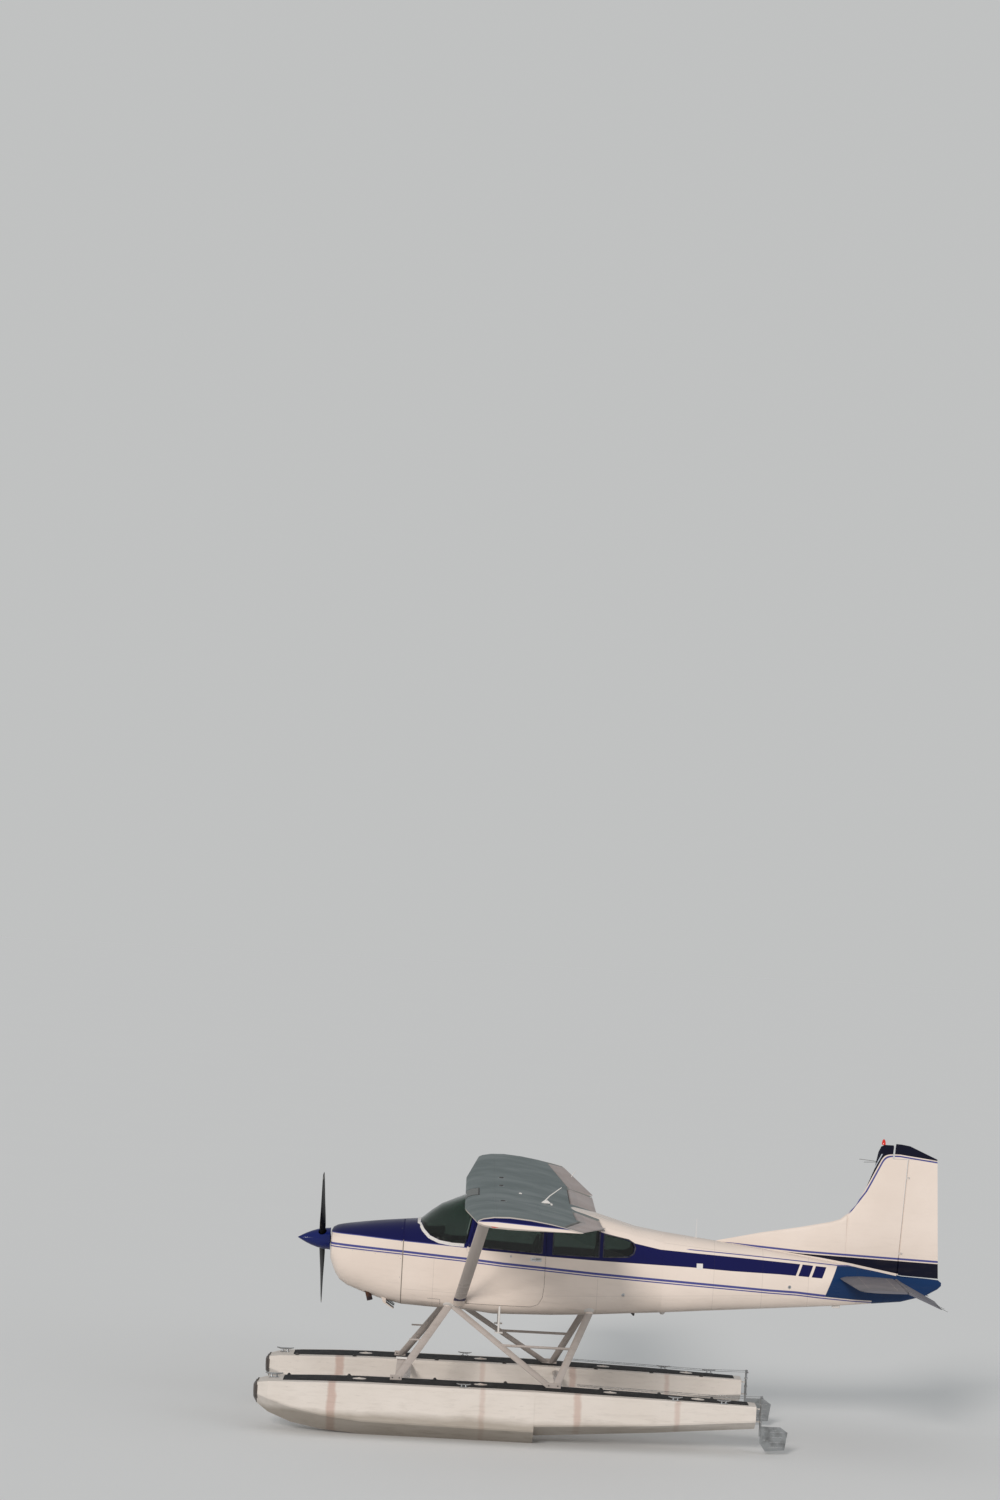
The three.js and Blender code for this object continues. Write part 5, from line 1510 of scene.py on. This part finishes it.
def rear_seat():
    tubes = Shape()
    seat_tubes(tubes, BENCH_TUBES, (-0.39, -0.02, 0.39), BENCH_CROSS, (-0.41, 0.41), 0.011)
    pieces = [
        pad("bench_pad", REAR_BOTTOM, -BENCH_PAD_HALF, BENCH_PAD_HALF, BENCH_CHANNELS, DOWN),
        pad("bench_back", REAR_BACK, -BENCH_BACK_HALF, BENCH_BACK_HALF, BENCH_CHANNELS, BACK),
        tubes.make("bench_frame", CAST),
    ]
    for piece in pieces:
        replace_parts(piece, "rear_seat")
    for name, near, far in (("bench_left", -0.43, -0.02), ("bench_right", 0.02, 0.43)):
        belt_pieces(name, near, far, 3.4, -0.278)


PANEL_FACE = 1.745
# Columns: distance from the centre line, height, radius
GAUGES = [
    (-0.36, 0.1, 0.038), (-0.272, 0.1, 0.038), (-0.184, 0.1, 0.038), (-0.36, 0.005, 0.038),
    (-0.184, 0.005, 0.038), (-0.44, 0.03, 0.024), (-0.44, 0.1, 0.024), (0.16, 0.11, 0.03),
    (0.24, 0.11, 0.024), (0.31, 0.11, 0.024), (0.16, 0.04, 0.03), (0.38, 0.11, 0.024), (0.4, 0.02, 0.024),
]
RADIOS = [(0.1, 0.145), (0.045, 0.09), (-0.01, 0.035), (-0.06, -0.02)]  # lower and upper height of each front
KNOBS = [(0.0, 0.013), (0.04, 0.011), (0.08, 0.011)]  # distance from the centre line, radius
TICKS = 12


def gauge(bezels, faces, marks, y, z, radius):
    """A round dial with its marks and hand."""
    spot = at(PANEL_FACE, y, z)
    rim = [(-0.001, radius), (0.004, radius), (0.005, radius * 0.92), (0.001, radius * 0.88)]
    bezels.turned(spot, AFT, rim, 24)
    faces.turned(spot, AFT, [(0.0, radius * 0.9), (0.0015, radius * 0.88)], 24)
    ticks = [(2 * math.pi * i / TICKS, 0.68, 0.84, 0.05, 0.001) for i in range(TICKS)]
    hand = (2.4 * y * 7 + 11 * z, -0.15, 0.7, 0.07, 0.0015)
    for turn, inner, outer, width, lift in [*ticks, hand]:
        along = Vector((0, math.sin(turn), math.cos(turn))) * radius
        path = [spot + along * share + AFT * lift for share in (inner, outer)]
        marks.ribbon(path, [AFT, AFT], radius * width, 0.001)


def instruments():
    """Dials, radios and knobs on the panel."""
    bezels, faces, marks = Shape(), Shape(), Shape()
    for y, z, radius in GAUGES:
        gauge(bezels, faces, marks, y, z, radius)
    for low, high in RADIOS:
        bezels.box(at(PANEL_FACE - 0.001, -0.085, low), at(PANEL_FACE + 0.006, 0.095, high), 0.002)
        faces.box(at(PANEL_FACE + 0.004, -0.05, low + 0.01), at(PANEL_FACE + 0.007, 0.06, high - 0.01), 0.001)
        for y in (-0.07, 0.08):
            bezels.turned(at(PANEL_FACE + 0.005, y, (low + high) / 2), AFT, [(0, 0.008), (0.012, 0.006)], 12)
    for y, radius in KNOBS:
        knob = [(0, 0.004), (0.03, 0.004), (0.031, radius), (0.042, radius)]
        bezels.turned(at(PANEL_FACE - 0.002, y, -0.16), AFT, knob, 14)
    bezels.make("panel_bezels", TRIM)
    faces.make("panel_faces", DIAL_FACE)
    marks.make("panel_marks", DIAL)


# Stage, light and camera

CAMERA_PLACE = (-1.764, -46.961, 6.336)
CAMERA_TURN = (92.397, -3.090, -0.302)
CAMERA_LENS = 91.2
FLOOR_REACH = 400
FLOOR_PAPER = ("#E4E5E5", "#D9DADC")
FAR_GREY = (0.529, 0.5364, 0.5345)  # the floor's colour where it meets the backdrop, as it is lit
WORLD_COLOUR = (0.97, 0.99, 1.0)
WORLD_STRENGTH = 0.45
# Columns: name, strength, direction that it comes from, spread in degrees, colour, seen in reflections
SUNS = [
    ("key", 1.7, (-6, -23, 9.2), 12, (1.0, 0.95, 0.91), False),
    ("fill", 0.4, (14, -12, 7.5), 30, (0.92, 0.96, 1.0), False),
    ("glint", 0.25, (-31, -24, 4), 4, (1, 1, 1), True),
]


def link(name, data):
    obj = bpy.data.objects.new(name, data)
    bpy.context.scene.collection.objects.link(obj)
    return obj


def floor():
    mesh = bpy.data.meshes.new("floor")
    corners = [(x * FLOOR_REACH, y * FLOOR_REACH, 0) for x, y in ((-1, -1), (1, -1), (1, 1), (-1, 1))]
    mesh.from_pydata(corners, [], [(0, 1, 2, 3)])
    g = Graph("floor_paper", 0.95, Specular_IOR_Level=0.0)
    mesh.materials.append(g.colour(g.blend(g.patches(0.3, 0.7, 0.3, 2), 0.04, *FLOOR_PAPER)))
    link("floor", mesh)


def backdrop():
    """Even light from all round, and a backdrop that is seen in the floor's own far colour."""
    world = bpy.data.worlds.new("studio")
    bpy.context.scene.world = world
    world.use_nodes = True
    tree = world.node_tree
    light, seen = tree.nodes["Background"], tree.nodes.new("ShaderNodeBackground")
    light.inputs["Color"].default_value = (*WORLD_COLOUR, 1)
    light.inputs["Strength"].default_value = WORLD_STRENGTH
    seen.inputs["Color"].default_value = (*FAR_GREY, 1)
    both = tree.nodes.new("ShaderNodeMixShader")
    rays = tree.nodes.new("ShaderNodeLightPath")
    for i, socket in enumerate((rays.outputs["Is Camera Ray"], light.outputs[0], seen.outputs[0])):
        tree.links.new(socket, both.inputs[i])
    tree.links.new(both.outputs[0], tree.nodes["World Output"].inputs["Surface"])


def sun(name, energy, place, spread, colour, glossy):
    """A distant light."""
    data = bpy.data.lights.new(name, "SUN")
    data.energy, data.color, data.angle = energy, colour, math.radians(spread)
    obj = link(name, data)
    obj.location = place
    obj.rotation_mode = "QUATERNION"
    obj.rotation_quaternion = Vector(place).to_track_quat("Z", "Y")
    obj.visible_glossy = glossy


def light_and_camera():
    for row in SUNS:
        sun(*row)
    data = bpy.data.cameras.new("camera")
    data.sensor_width, data.lens = 36, CAMERA_LENS
    data.clip_start, data.clip_end = 0.5, 1500
    camera = link("camera", data)
    camera.location = CAMERA_PLACE
    camera.rotation_euler = [math.radians(a) for a in CAMERA_TURN]
    scene = bpy.context.scene
    scene.camera = camera
    scene.view_settings.view_transform = "Standard"


light_and_camera()
floor()
backdrop()
paint_nodes()
body_rivets()
nose_details()
cylinder_barrels()
windshield_frame()
window_seals()
door_beads()
door_fittings()
small_body_parts()
wing_rivets()
wing_top_parts()
skylight()
position_lamps()
beads()
tail_parts()
float_parts()
gear_fittings()
step_bracket()
water_rudder_parts()
front_seats()
rear_seat()
instruments()
